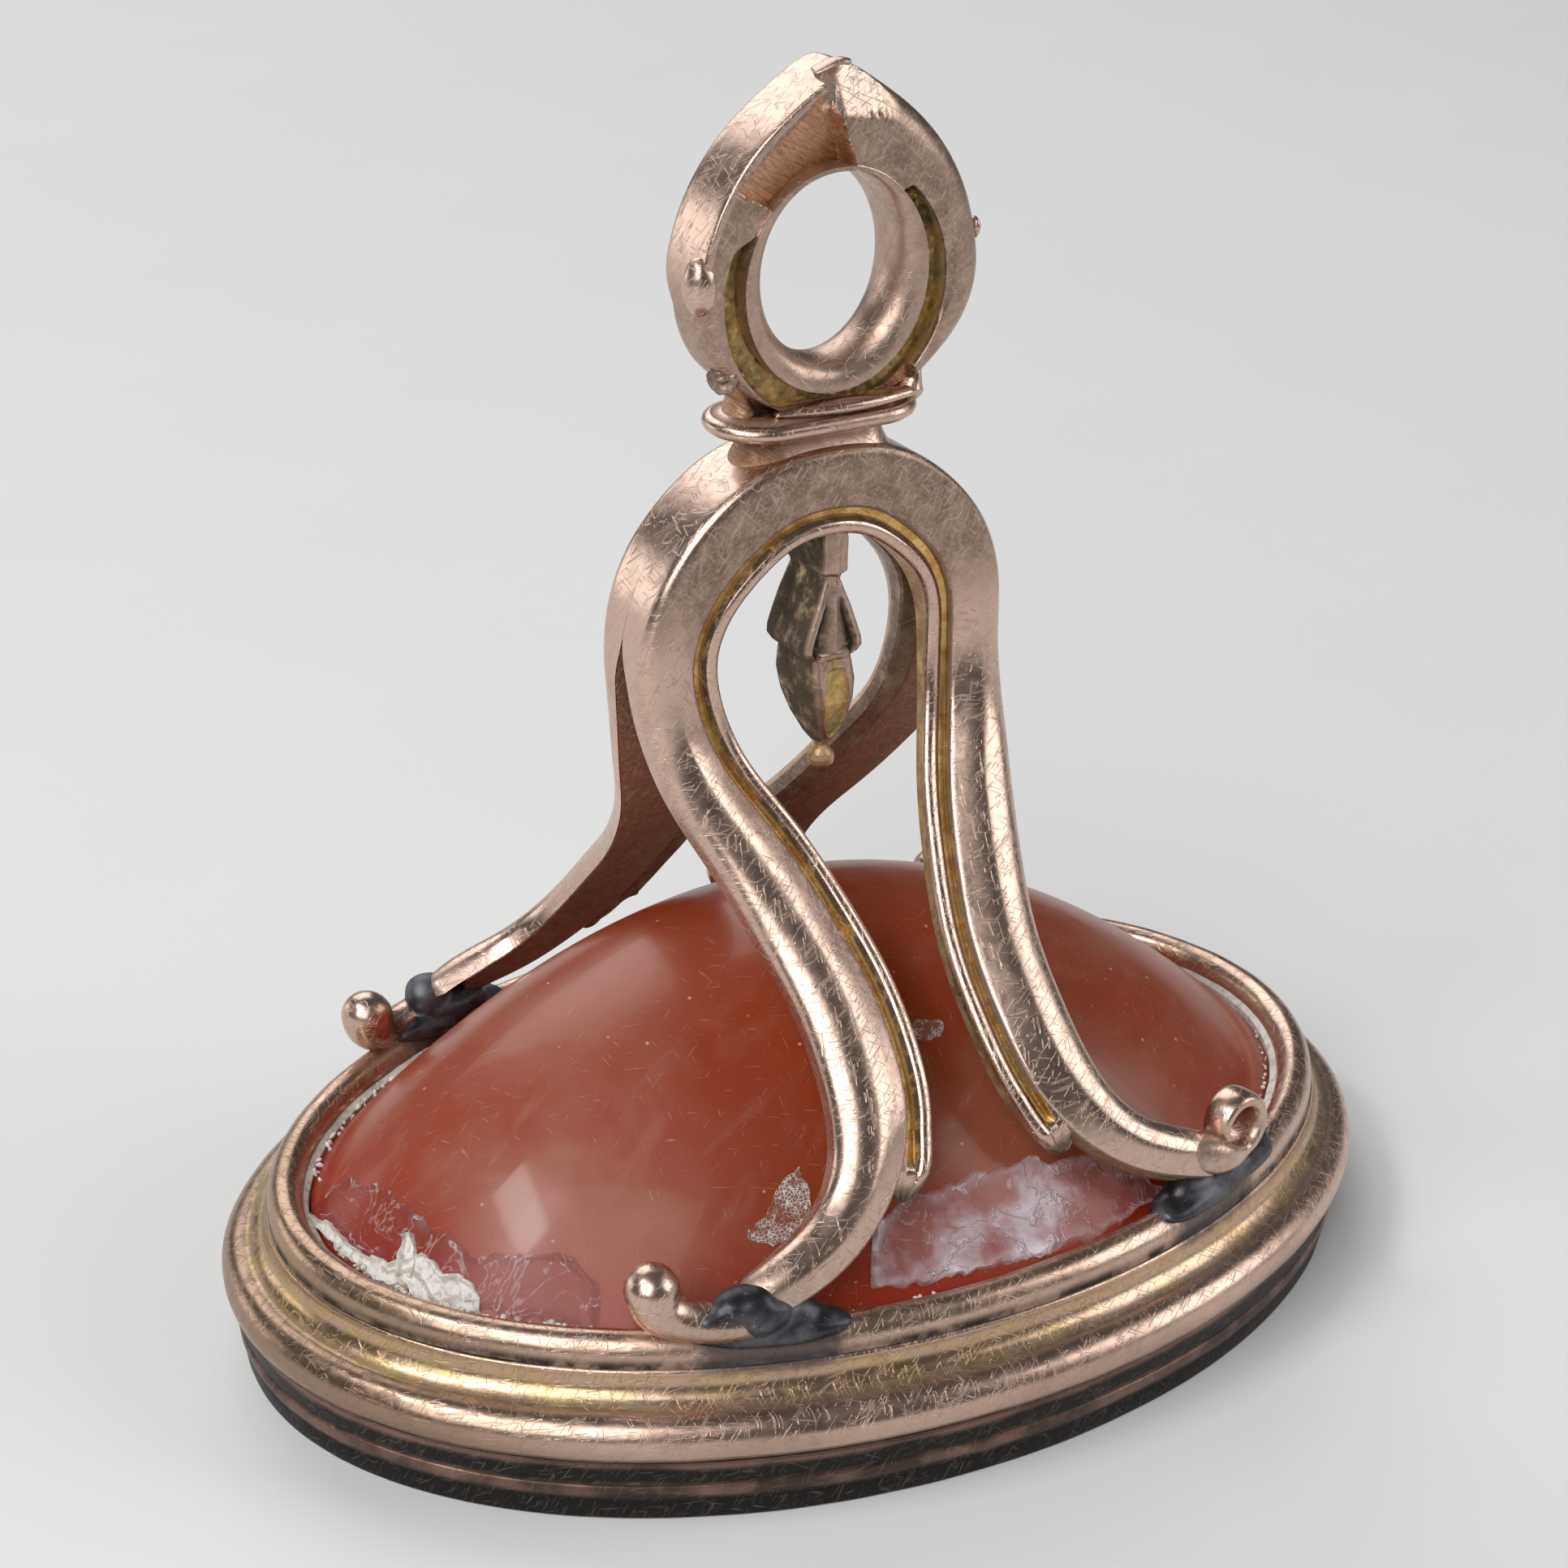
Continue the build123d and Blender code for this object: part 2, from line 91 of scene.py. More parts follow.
class SealSizes(bpy.types.PropertyGroup):
    """Sizes of the details, in millimetres."""

    dent_depth: length_setting("Dent depth", "How far the mouldings are dented", 0.035, min=0)
    head_lean: length_setting("Head lean", "How far the stirrup's head leans to the left", 0.37)
    groove_width: length_setting("Groove width", "Width of the groove beside the rail", 0.25, min=0)
    groove_depth: length_setting("Groove depth", "Depth of the groove beside the rail", 0.19, min=0)
    rail_width: length_setting("Rail width", "Width of the thin rail", 0.33, min=0)
    channel_depth: length_setting("Channel depth", "Depth of the bow's channel", 0.42, min=0)
    seed: IntProperty(name="Seed", description="Seed of the dents", default=7)


class SealColours(bpy.types.PropertyGroup):
    """Colours of the metals and the stone."""

    gold: colour_setting("Rose gold", "Clean rolled gold", (0.64, 0.455, 0.37))
    tarnish: colour_setting("Tarnish", "Brown tarnish on the gold", (0.24, 0.15, 0.105))
    gilding: colour_setting("Gilding", "Unworn gilding in the recesses", (0.85, 0.58, 0.22))
    dirt: colour_setting("Dirt", "Black dirt in the recesses", (0.018, 0.015, 0.010))
    stone: colour_setting("Stone", "Body of the stone", (0.29, 0.046, 0.012))
    stone_haze: colour_setting("Stone haze", "Milky zones of the stone", (0.36, 0.145, 0.10))
    solder: colour_setting("Solder", "Soft solder at the feet", (0.15, 0.15, 0.17))


def sizes():
    return bpy.context.scene.seal_sizes


def colours():
    return bpy.context.scene.seal_colours


# ---------------------------------------------------------------- shader expressions


class Signal:
    """A shader socket that Python expressions turn into Math nodes."""

    def __init__(self, shade, socket):
        self.shade = shade
        self.socket = socket

    def math(self, operation, *others):
        return self.shade.add("ShaderNodeMath", {"operation": operation}, self, *others)

    def __add__(self, other):
        return self.math("ADD", other)

    def __sub__(self, other):
        return self.math("SUBTRACT", other)

    def __mul__(self, other):
        return self.math("MULTIPLY", other)

    def __rsub__(self, other):
        return self.shade.add("ShaderNodeMath", {"operation": "SUBTRACT"}, other, self)

    __radd__ = __add__
    __rmul__ = __mul__

    def either(self, other):
        return self.math("MAXIMUM", other)

    def ramp(self, low, high):
        """0 at low, 1 at high, smooth between them."""
        settings = {"interpolation_type": "SMOOTHSTEP"}
        return self.shade.add("ShaderNodeMapRange", settings, self, low, high, 0.0, 1.0)


# Turns in degrees of the sheets that cut the surface in fine scratches
SCRATCH_TURNS = ((0, 20, 12), (0, -28, 62), (0, 25, -50), (0, 70, 30))
# Sockets of the Mix node's colours, which share their names with its other sockets
MIX_SHARE, MIX_FIRST, MIX_SECOND, MIX_RESULT = 0, 6, 7, 2


class Shade:
    """A material and the nodes that it is made of."""

    def __init__(self, name):
        self.material = bpy.data.materials.new(name)
        self.material.use_nodes = True
        self.tree = self.material.node_tree
        self.tree.nodes.clear()
        place = self.add("ShaderNodeTexCoord", {}, output="Object")
        self.mm = self.add("ShaderNodeVectorMath", {"operation": "SCALE"}, place, Scale=1 / MM)

    def add(self, kind, settings, *ordered, output=0, **named):
        """A node of a kind, with its settings and then the values or links of its sockets."""
        node = self.tree.nodes.new(kind)
        for key, value in settings.items():
            setattr(node, key, value)
        pairs = list(zip(node.inputs, ordered)) + [(node.inputs[key], value) for key, value in named.items()]
        for socket, value in pairs:
            self.feed(socket, value)
        return Signal(self, node.outputs[output])

    def feed(self, socket, value):
        if isinstance(value, Signal):
            self.tree.links.new(value.socket, socket)
        else:
            socket.default_value = value

    def axis(self, name):
        """One coordinate in millimetres."""
        return self.add("ShaderNodeSeparateXYZ", {}, self.mm, output=name)

    def value_of(self, name):
        """A number that the mesh carries at its points."""
        return self.add("ShaderNodeAttribute", {"attribute_type": "GEOMETRY", "attribute_name": name}, output="Fac")

    def turned(self, angles, scale):
        """The place in millimetres turned by angles in degrees and then scaled."""
        return self.add(
            "ShaderNodeMapping",
            {"vector_type": "TEXTURE"},
            self.mm,
            Rotation=[math.radians(a) for a in angles],
            Scale=[1 / share for share in scale],
        )

    def noise(self, scale, detail, roughness, vector=None, distortion=0.0):
        return self.add(
            "ShaderNodeTexNoise",
            {},
            Vector=vector or self.mm,
            Scale=scale,
            Detail=detail,
            Roughness=roughness,
            Distortion=distortion,
        )

    def spots(self, scale, feature="F1"):
        return self.add("ShaderNodeTexVoronoi", {"feature": feature}, Vector=self.mm, Scale=scale)

    def mix(self, share, first, second):
        """The first colour where share is 0 and the second where it is 1."""
        node = self.tree.nodes.new("ShaderNodeMix")
        node.data_type = "RGBA"
        self.feed(node.inputs[MIX_SHARE], share)
        for number, colour in ((MIX_FIRST, first), (MIX_SECOND, second)):
            self.feed(node.inputs[number], colour if isinstance(colour, Signal) else (*colour, 1))
        return Signal(self, node.outputs[MIX_RESULT])

    def distance(self, point):
        """Distance in mm from a point."""
        return self.add("ShaderNodeVectorMath", {"operation": "DISTANCE"}, self.mm, point, output="Value")

    def hairlines(self, density, turns=SCRATCH_TURNS):
        """Fine straight scratches in a few directions, as a mask: thin sheets that the surface cuts."""
        lines = None
        for angles in turns:
            stretched = self.turned(angles, (15.0, 1.0, 1.0))
            layer = self.noise(1.6, 1.0, 0.6, stretched).ramp(0.66 - density, 0.71 - density)
            lines = layer if lines is None else lines.either(layer)
        return lines

    def bump(self, height, distance):
        """A relief whose heights are shares of a distance in mm."""
        return self.add("ShaderNodeBump", {}, Distance=distance * MM, Height=height, output="Normal")

    def surface(self, **sockets):
        """The finished material. In a socket's name an underscore stands for a space."""
        named = {key.replace("_", " "): value for key, value in sockets.items()}
        shader = self.add("ShaderNodeBsdfPrincipled", {}, **named)
        node = self.tree.nodes.new("ShaderNodeOutputMaterial")
        self.tree.links.new(shader.socket, node.inputs["Surface"])
        return self.material


# ---------------------------------------------------------------- materials

PALE_GOLD = (0.72, 0.55, 0.45)
SCRATCHED_GOLD = (0.66, 0.54, 0.45)
# Browned metal, dark and light grains: partly real browning, partly painted shade and painted dark reflection where the
# brown mask lies
BROWN_GRAIN, TAN_GRAIN = (0.245, 0.168, 0.125), (0.41, 0.295, 0.23)
BRIGHT_GILDING = (0.85, 0.66, 0.34)
# Gilding that is worn thin: brown, or green with verdigris
BROWN_GILDING, GREEN_GILDING, DROP_GILDING = (0.60, 0.32, 0.10), (0.46, 0.38, 0.13), (0.44, 0.37, 0.13)
# Furrows and crests of the file's cuts
COPPER_FURROW, COPPER_CREST = (0.40, 0.20, 0.11), (0.74, 0.46, 0.30)

# The dark band at the foot of the base
BAND_BLACK, BAND_METAL = (0.015, 0.013, 0.012), (0.30, 0.18, 0.135)
BAND_GRAIN, BAND_SCRATCH = (0.24, 0.18, 0.15), (0.45, 0.36, 0.30)

# The mouldings of the base
OLIVE_HOLLOW, ROSY_HOLLOW = (0.60, 0.43, 0.20), (0.57, 0.39, 0.26)
SHADED_END = (0.30, 0.20, 0.135)
VERDIGRIS = (0.30, 0.33, 0.22)
# Near black of the dirt in the creases and of the painted shade low on the bead
DIRT_AND_SHADE_BLACK = (0.030, 0.024, 0.020)
SOLDER_STAIN = (0.075, 0.072, 0.078)

STONE_RIM, STONE_MARK = (0.32, 0.020, 0.006), (0.62, 0.42, 0.36)
# Solder colours: a dark tone, and the bright specks painted on it as glints
SOLDER_HOLLOW, PAINTED_SOLDER_GLINT = (0.050, 0.050, 0.056), (0.45, 0.45, 0.5)
CEMENT_DARK, CEMENT_LIGHT, CEMENT_STAIN = (0.50, 0.46, 0.41), (0.86, 0.83, 0.78), (0.36, 0.32, 0.26)
CLEAR_GLUE, RED_GLUE, MILKY_GLUE = (0.66, 0.48, 0.50), (0.20, 0.05, 0.065), (0.86, 0.79, 0.85)
# How much even the clearest glue hides
GLUE_FILM = 0.12
LACE_THIN, LACE_THICK = (0.62, 0.46, 0.40), (0.88, 0.80, 0.76)
FLOOR_DARK, FLOOR_LIGHT = (0.78, 0.78, 0.775), (0.81, 0.81, 0.805)


def worn_gold(name, tarnish=0.35, roughness=0.24, deep_gilding=BROWN_GILDING):
    """Worn rolled rose gold. Its mesh carries gilt, dirt, raw and brown masks at its points."""
    shade = Shade(name)
    broad = shade.noise(0.45, 4, 0.55)
    cloudy = shade.noise(2.2, 5, 0.6)
    grain = shade.noise(11.0, 3, 0.7)
    lines = shade.hairlines(0.012)
    pits = 1 - shade.spots(5.5).ramp(0.03, 0.09)
    stained = (broad.ramp(0.42, 0.68) * 0.6 + cloudy.ramp(0.5, 0.75) * 0.5) * tarnish
    colour = shade.mix(stained, colours().gold, colours().tarnish)
    colour = shade.mix(broad.ramp(0.35, 0.6) * 0.3, colour, PALE_GOLD)
    # Painted shade and painted dark reflection: where the brown mask lies, on front faces, backs and inner walls, the
    # gold turns to dark brown grains, besides real browning
    brown = shade.value_of("brown")
    granular = shade.mix(grain.ramp(0.42, 0.70), BROWN_GRAIN, TAN_GRAIN)
    colour = shade.mix(brown * (0.7 + cloudy.ramp(0.35, 0.6) * 0.3), colour, granular)
    gilt = shade.value_of("gilt")
    rich = shade.mix(cloudy.ramp(0.38, 0.62), colours().gilding, deep_gilding)
    rich = shade.mix(grain.ramp(0.55, 0.7) * 0.7, rich, BRIGHT_GILDING)
    colour = shade.mix(gilt * shade.noise(1.6, 4, 0.6).ramp(0.20, 0.42), colour, rich)
    raw = shade.value_of("raw")
    cuts = shade.noise(5.0, 4, 0.65, shade.turned((0, 32, 0), (0.5, 1, 7.0)))
    copper = shade.mix(cuts.ramp(0.30, 0.70), COPPER_FURROW, COPPER_CREST)
    colour = shade.mix(raw, colour, copper)
    colour = shade.mix(lines * brown * 0.5, colour, SCRATCHED_GOLD)
    dirt = shade.value_of("dirt") * shade.noise(2.4, 5, 0.65).ramp(0.30, 0.52)
    speck = pits * shade.noise(0.8, 2, 0.5).ramp(0.52, 0.6)
    # Dirt and specks go to the dirt colour; on the drop's sides the dirt mask is painted shade
    grime_and_shade = dirt.either(speck * 0.8)
    colour = shade.mix(grime_and_shade, colour, colours().dirt)
    finish = roughness + cloudy.ramp(0.4, 0.8) * 0.12 + lines * 0.14 + gilt * 0.16
    finish = finish + raw * 0.12 + grime_and_shade * 0.4 + brown * 0.12
    relief = shade.noise(1.8, 2, 0.5) * 0.5 + grain * 0.08 + grain * brown * 0.22 + grain * gilt * 0.5
    relief = relief - lines * 0.25 + raw * cuts - grime_and_shade * 0.6
    normal = shade.bump(relief, 0.018)
    return shade.surface(Base_Color=colour, Metallic=1 - grime_and_shade * 0.85, Roughness=finish, Normal=normal)


def tarnished_gold(name):
    """The dark band: black tarnish that lets a soft stripe of rosy brown metal through."""
    shade = Shade(name)
    wander = (shade.noise(0.45, 3, 0.55) - 0.5) * 0.42
    level = shade.axis("Z") + wander
    stripe = level.ramp(0.52, 0.70) * (1 - level.ramp(0.84, 1.0))
    patches = shade.noise(0.5, 4, 0.6).ramp(0.40, 0.62)
    fine = shade.noise(6.0, 4, 0.7)
    flecks = (stripe * (0.20 + patches * 0.6), shade.noise(2.2, 4, 0.65).ramp(0.62, 0.72) * patches * 0.5)
    bright = flecks[0].either(flecks[1])
    rub = level.ramp(1.25, 1.50)
    colour = shade.mix(bright.either(rub), BAND_BLACK, BAND_METAL)
    colour = shade.mix(fine.ramp(0.60, 0.74) * 0.12, colour, BAND_GRAIN)
    lines = shade.hairlines(0.01)
    colour = shade.mix(lines * 0.16, colour, BAND_SCRATCH)
    normal = shade.bump(fine * 0.6 - lines * 0.25, 0.02)
    return shade.surface(
        Base_Color=colour,
        Metallic=0.50 + bright * 0.4,
        Roughness=0.44 - bright * 0.12 + lines * 0.1,
        Specular_IOR_Level=0.3,
        Normal=normal,
    )


def moulded_gold(name):
    """The base's mouldings: gilt in the hollows, rubbed bright on the rounds, dark by the feet."""
    shade = Shade(name)
    height = shade.axis("Z")
    broad = shade.noise(0.35, 4, 0.55)
    cloudy = shade.noise(2.0, 5, 0.62)
    stained = (broad.ramp(0.40, 0.66) * 0.55 + cloudy.ramp(0.5, 0.74) * 0.4) * 0.45
    colour = shade.mix(stained, colours().gold, colours().tarnish)
    left = 1 - (shade.axis("X") + (broad - 0.5) * 5.0).ramp(-12.5, -8.5)
    colour = shade.mix(left * 0.8, colour, SHADED_END)
    rosy = shade.noise(0.9, 4, 0.6, shade.turned((0, 0, 0), (1, 1, 2.5))).ramp(0.40, 0.60)
    hollow = shade.value_of("gilt") * shade.noise(0.5, 4, 0.6).ramp(0.22, 0.5)
    colour = shade.mix(hollow * (0.72 + left * 0.2), colour, shade.mix(rosy, OLIVE_HOLLOW, ROSY_HOLLOW))
    crease = shade.value_of("dirt")
    streaks = shade.noise(1.6, 4, 0.6).ramp(0.38, 0.60)
    # Painted shade: the bead goes dark towards its bottom, below a height of about 1.5 to 1.8 mm
    low = 1 - (height + (shade.noise(0.7, 3, 0.5) - 0.5) * 0.35).ramp(1.50, 1.78)
    grime_and_shade = (crease * (0.4 + streaks * 0.6)).either(low * 0.92)
    foot = None
    for x, y in FEET:
        near = 1 - (shade.distance((x, y, COLLAR_TOP)) + (cloudy - 0.5) * 1.6).ramp(1.2, 2.0)
        foot = near if foot is None else foot.either(near)
    foot = foot * (height + (cloudy - 0.5) * 0.6).ramp(2.95, 3.3)
    green = (shade.noise(0.55, 3, 0.5).ramp(0.55, 0.66) * shade.value_of("gilt")) * shade.axis("Y").ramp(2.0, 6.0)
    colour = shade.mix(green * 0.7, colour, VERDIGRIS)
    colour = shade.mix(grime_and_shade, colour, DIRT_AND_SHADE_BLACK)
    colour = shade.mix(foot * 0.8, colour, SOLDER_STAIN)
    lines = shade.hairlines(0.02)
    pits = 1 - shade.spots(4.0).ramp(0.04, 0.12)
    finish = 0.26 + cloudy.ramp(0.4, 0.8) * 0.14 + lines * 0.14 + grime_and_shade * 0.30 + foot * 0.2 + green * 0.3
    relief = shade.noise(1.5, 2, 0.5) * 0.6 - lines * 0.2 - pits * 0.15 - grime_and_shade * 0.3
    return shade.surface(
        Base_Color=colour,
        Metallic=1 - grime_and_shade * 0.55 - green * 0.5,
        Roughness=finish,
        Normal=shade.bump(relief, 0.022),
    )


def carnelian(name):
    """Hazy orange-brown translucent stone, polished, with small scratches and pits."""
    shade = Shade(name)
    clouds = shade.noise(0.16, 4, 0.55, distortion=0.6)
    wisps = shade.noise(0.5, 5, 0.6, shade.turned((0, 0, 25), (0.5, 1.6, 1.0)), distortion=1.2)
    rim = shade.value_of("edge")
    haze = clouds.ramp(0.42, 0.62) * 0.42 + wisps.ramp(0.52, 0.72) * 0.30
    # Painted shade: the haze fades towards the top of the dome, which goes darker
    top = shade.axis("Z").ramp(6.5, 9.3)
    haze = haze * (1 - top * 0.8)
    colour = shade.mix(haze * (1 - rim * 0.8), colours().stone, colours().stone_haze)
    colour = shade.mix(rim * 0.75, colour, STONE_RIM)
    # The fourth sheet lies too flat for the dome and would cut it in blots
    lines = shade.hairlines(-0.05, SCRATCH_TURNS[:3])
    pits = 1 - shade.spots(1.3).ramp(0.03, 0.07)
    dust = shade.noise(7.0, 3, 0.7).ramp(0.66, 0.72) * rim
    marks = (lines * 0.3).either(pits).either(dust)
    colour = shade.mix(marks * 0.7, colour, STONE_MARK)
    finish = 0.30 + haze * 0.12 + marks * 0.3
    normal = shade.bump(shade.noise(0.35, 2, 0.5) * 1.5 - marks * 0.15, 0.05)
    return shade.surface(
        Base_Color=colour,
        Roughness=finish,
        Normal=normal,
        IOR=1.42,
        Coat_Weight=0.14,
        Coat_Roughness=0.07,
        Subsurface_Weight=0.35,
        Subsurface_Radius=(1.0, 0.22, 0.08),
        Subsurface_Scale=1.2 * MM,
    )


def soft_solder(name):
    """Dull lead solder, grey with a blue cast, with painted glints."""
    shade = Shade(name)
    cloudy = shade.noise(1.1, 4, 0.6)
    fine = shade.noise(7.0, 3, 0.6)
    colour = shade.mix(cloudy.ramp(0.35, 0.68), SOLDER_HOLLOW, colours().solder)
    # Painted glints: small bright specks mixed into the colour
    colour = shade.mix(fine.ramp(0.62, 0.7) * 0.25, colour, PAINTED_SOLDER_GLINT)
    return shade.surface(
        Base_Color=colour,
        Metallic=0.85,
        Roughness=0.34 + cloudy.ramp(0.3, 0.7) * 0.2,
        Normal=shade.bump(cloudy + fine * 0.2, 0.016),
    )


def cement(name, stained=0.55):
    """Matt whitish cement and old putty."""
    shade = Shade(name)
    grain = shade.noise(5.0, 5, 0.7)
    stain = shade.noise(0.35, 3, 0.5).ramp(0.45, 0.62)
    colour = shade.mix(grain.ramp(0.30, 0.55), CEMENT_DARK, CEMENT_LIGHT)
    colour = shade.mix(stain * stained, colour, CEMENT_STAIN)
    return shade.surface(Base_Color=colour, Roughness=0.8, Normal=shade.bump(grain, 0.06))


def old_glue(name, milk=0.50, border=0.25, milky_from=0.40, clear=CLEAR_GLUE):
    """A skin of clear glue that has gone milky in places."""
    shade = Shade(name)
    waves = shade.noise(1.3, 4, 0.6)
    milky = shade.noise(0.42, 4, 0.6).ramp(milky_from, milky_from + 0.26)
    edge = shade.value_of("edge")
    fold = (shade.noise(0.9, 3, 0.6, distortion=0.8) - 0.5).math("ABSOLUTE")
    threads = 1 - fold.ramp(0.004, 0.022)
    colour = shade.mix(milky.either(threads), clear, MILKY_GLUE)
    return shade.surface(
        Base_Color=colour,
        Roughness=0.07 + waves.ramp(0.5, 0.8) * 0.12,
        IOR=1.47,
        Alpha=GLUE_FILM + milky * milk + edge * border + threads * border * 0.4,
        Normal=shade.bump(waves + threads * 0.2, 0.17),
    )


def dried_glue(name):
    """Glue dried to a white lace."""
    shade = Shade(name)
    lace = shade.spots(13.0, feature="DISTANCE_TO_EDGE").ramp(0.04, 0.16)
    patchy = shade.noise(3.0, 4, 0.6).ramp(0.36, 0.52)
    return shade.surface(
        Base_Color=shade.mix(patchy, LACE_THIN, LACE_THICK),
        Roughness=0.45,
        Alpha=(0.15 + (1 - lace) * 0.85) * (0.35 + patchy * 0.65),
        Normal=shade.bump(lace, 0.03),
    )


def pale_floor(name):
    """Plain matt card, a little uneven."""
    shade = Shade(name)
    grain = shade.noise(0.08, 3, 0.5)
    return shade.surface(Base_Color=shade.mix(grain, FLOOR_DARK, FLOOR_LIGHT), Roughness=0.85)


MATERIALS = {}


def finish_of(name, maker, **options):
    """The material of that name, made at its first use."""
    if name not in MATERIALS:
        MATERIALS[name] = maker(name, **options)
    return MATERIALS[name]


# ---------------------------------------------------------------- curves and meshes


def smooth_line(rows, count):
    """Rows of numbers joined by a natural cubic, sampled evenly. The first three numbers are a place."""
    rows = np.array(rows, float)
    steps = np.linalg.norm(np.diff(rows[:, :3], axis=0), axis=1)
    at = np.concatenate([[0], np.cumsum(steps)])
    size = len(rows)
    system = np.eye(size)
    right = np.zeros_like(rows)
    for i in range(1, size - 1):
        before, after = at[i] - at[i - 1], at[i + 1] - at[i]
        system[i, i - 1 : i + 2] = before, 2 * (before + after), after
        right[i] = 6 * ((rows[i + 1] - rows[i]) / after - (rows[i] - rows[i - 1]) / before)
    bend = np.linalg.solve(system, right)
    wanted = np.linspace(0, at[-1], count)
    span = np.clip(np.searchsorted(at, wanted, side="right") - 1, 0, size - 2)
    length = (at[span + 1] - at[span])[:, None]
    far = (wanted - at[span])[:, None]
    near = length - far
    low, high = bend[span], bend[span + 1]
    curved = (low * near**3 + high * far**3) / (6 * length)
    return (
        curved
        + (rows[span] / length - low * length / 6) * near
        + (rows[span + 1] / length - high * length / 6) * far
    )


def unit(vectors):
    return vectors / np.maximum(np.linalg.norm(vectors, axis=-1, keepdims=True), 1e-12)


def directions(points):
    return unit(np.gradient(points, axis=0))


def ease(values, low, high):
    """0 up to low, 1 from high, smooth between them."""
    share = np.clip((np.asarray(values, float) - low) / (high - low), 0, 1)
    return share * share * (3 - 2 * share)


def leaned(points):
    """The stirrup's head and neck lean a little to the left of the base."""
    points = np.array(points, float)
    height = points[..., 2]
    share = ease(height, 10.5, 16.0) * (1 - ease(height, PLATE_TOP + 0.1, PLATE_TOP + 1.6))
    points[..., 0] -= sizes().head_lean * share
    return points


def full_circle(count):
    """Evenly spaced angles all round, in radians."""
    return np.linspace(0, 2 * math.pi, count, endpoint=False)


def squared_circle(angles, power):
    """A circle's cosines and sines, drawn out towards a square where power is over 2."""
    return [np.sign(share) * np.abs(share) ** (2 / power) for share in (np.cos(angles), np.sin(angles))]


def level_ring(x, y, height):
    """Points at one height."""
    return np.stack([x, y, np.full(len(x), height)], 1)


def skin(rows, ring=False, **marks):
    """A skin over rows of points, each row closed. A ring's last row joins its first one."""
    rows = np.asarray(rows, float)
    count, width = rows.shape[:2]
    faces = []
    for i in range(count if ring else count - 1):
        a, b = i * width, ((i + 1) % count) * width
        for j in range(width):
            k = (j + 1) % width
            faces.append((a + j, a + k, b + k, b + j))
    if not ring:
        faces.append(tuple(range(width - 1, -1, -1)))
        faces.append(tuple(range((count - 1) * width, count * width)))
    spread = {
        key: np.broadcast_to(np.asarray(value, float), (count, width)).reshape(-1) for key, value in marks.items()
    }
    return rows.reshape(-1, 3), faces, spread


def mark_points(mesh, marks):
    """Gives the mesh numbers at its points, under the marks' names."""
    for key, numbers in marks.items():
        values = np.asarray(numbers, float)
        mesh.attributes.new(key, "FLOAT", "POINT").data.foreach_set("value", values)


def solid(name, *skins, turn=(1, 1, 1)):
    """One mesh of several skins, mirrored where turn says so, with its faces outwards."""
    points, faces = [], []
    keys = sorted({key for piece in skins for key in piece[2]})
    marks = {key: [] for key in keys}
    for places, quads, numbers in skins:
        start = sum(len(part) for part in points)
        points.append(places * np.array(turn))
        faces += [tuple(start + index for index in quad) for quad in quads]
        for key in keys:
            marks[key].append(numbers.get(key, np.zeros(len(places))))
    mesh = bpy.data.meshes.new(name)
    mesh.from_pydata((np.concatenate(points) * MM).tolist(), [], faces)
    mark_points(mesh, {key: np.concatenate(parts) for key, parts in marks.items()})
    face_outwards(mesh)
    return mesh


def face_outwards(mesh):
    shape = bmesh.new()
    shape.from_mesh(mesh)
    bmesh.ops.recalc_face_normals(shape, faces=shape.faces)
    if shape.calc_volume(signed=True) < 0:
        bmesh.ops.reverse_faces(shape, faces=shape.faces)
    shape.to_mesh(mesh)
    shape.free()


# Angles in degrees of the rings that round off a bar's ends, from the tip inwards
CAP_ANGLES = (88, 78, 64, 48, 32, 16)


def bar(rows, normal, count, sides=28, power=2.0, **marks):
    """A bent bar with round ends. Its rows are a place, its half width along the normal and its half height."""
    line = smooth_line(rows, count)
    points, wide, high = line[:, :3], line[:, 3], line[:, 4]
    along = directions(points)
    swing = np.radians(CAP_ANGLES)
    sines, cosines = np.sin(swing), np.cos(swing)
    head = points[0] - along[0] * (high[0] * sines)[:, None]
    tail = points[-1] + along[-1] * (high[-1] * sines[::-1])[:, None]
    points = np.concatenate([head, points, tail])
    wide, high = (np.concatenate([size[0] * cosines, size, size[-1] * cosines[::-1]]) for size in (wide, high))
    caps = len(swing)
    along = np.concatenate([np.repeat(along[:1], caps, 0), along, np.repeat(along[-1:], caps, 0)])
    normal = unit(np.array(normal, float))
    side = unit(normal - along * (along @ normal)[:, None])
    lift = np.cross(along, side)
    across, upward = squared_circle(full_circle(sides), power)
    places = (
        points[:, None]
        + side[:, None] * (wide[:, None] * across)[..., None]
        + lift[:, None] * (high[:, None] * upward)[..., None]
    )
    return skin(places, **marks)


LUMP_RINGS, LUMP_SIDES = 22, 34


def lump(middle, radii, turn, rough, seed, **marks):
    """A rounded lump of poured or broken stuff, turned about the vertical by an angle in degrees."""
    heights = np.radians(np.linspace(-89, 89, LUMP_RINGS))
    angles = full_circle(LUMP_SIDES)
    ball = np.stack(
        [
            np.outer(np.cos(heights), np.cos(angles)),
            np.outer(np.cos(heights), np.sin(angles)),
            np.outer(np.sin(heights), np.ones(LUMP_SIDES)),
        ],
        2,
    )
    shift = Vector((seed * 7.3, seed * 3.1, seed * 5.7))
    swell = [[noise.noise(Vector(place) * 1.6 + shift) for place in row] for row in ball]
    ball = ball * (1 + rough * np.array(swell))[..., None] * np.array(radii)
    cosine, sine = math.cos(math.radians(turn)), math.sin(math.radians(turn))
    x, y, z = ball[..., 0], ball[..., 1], ball[..., 2]
    places = np.stack([x * cosine - y * sine, x * sine + y * cosine, z], 2)
    return skin(places + np.array(middle), **marks)


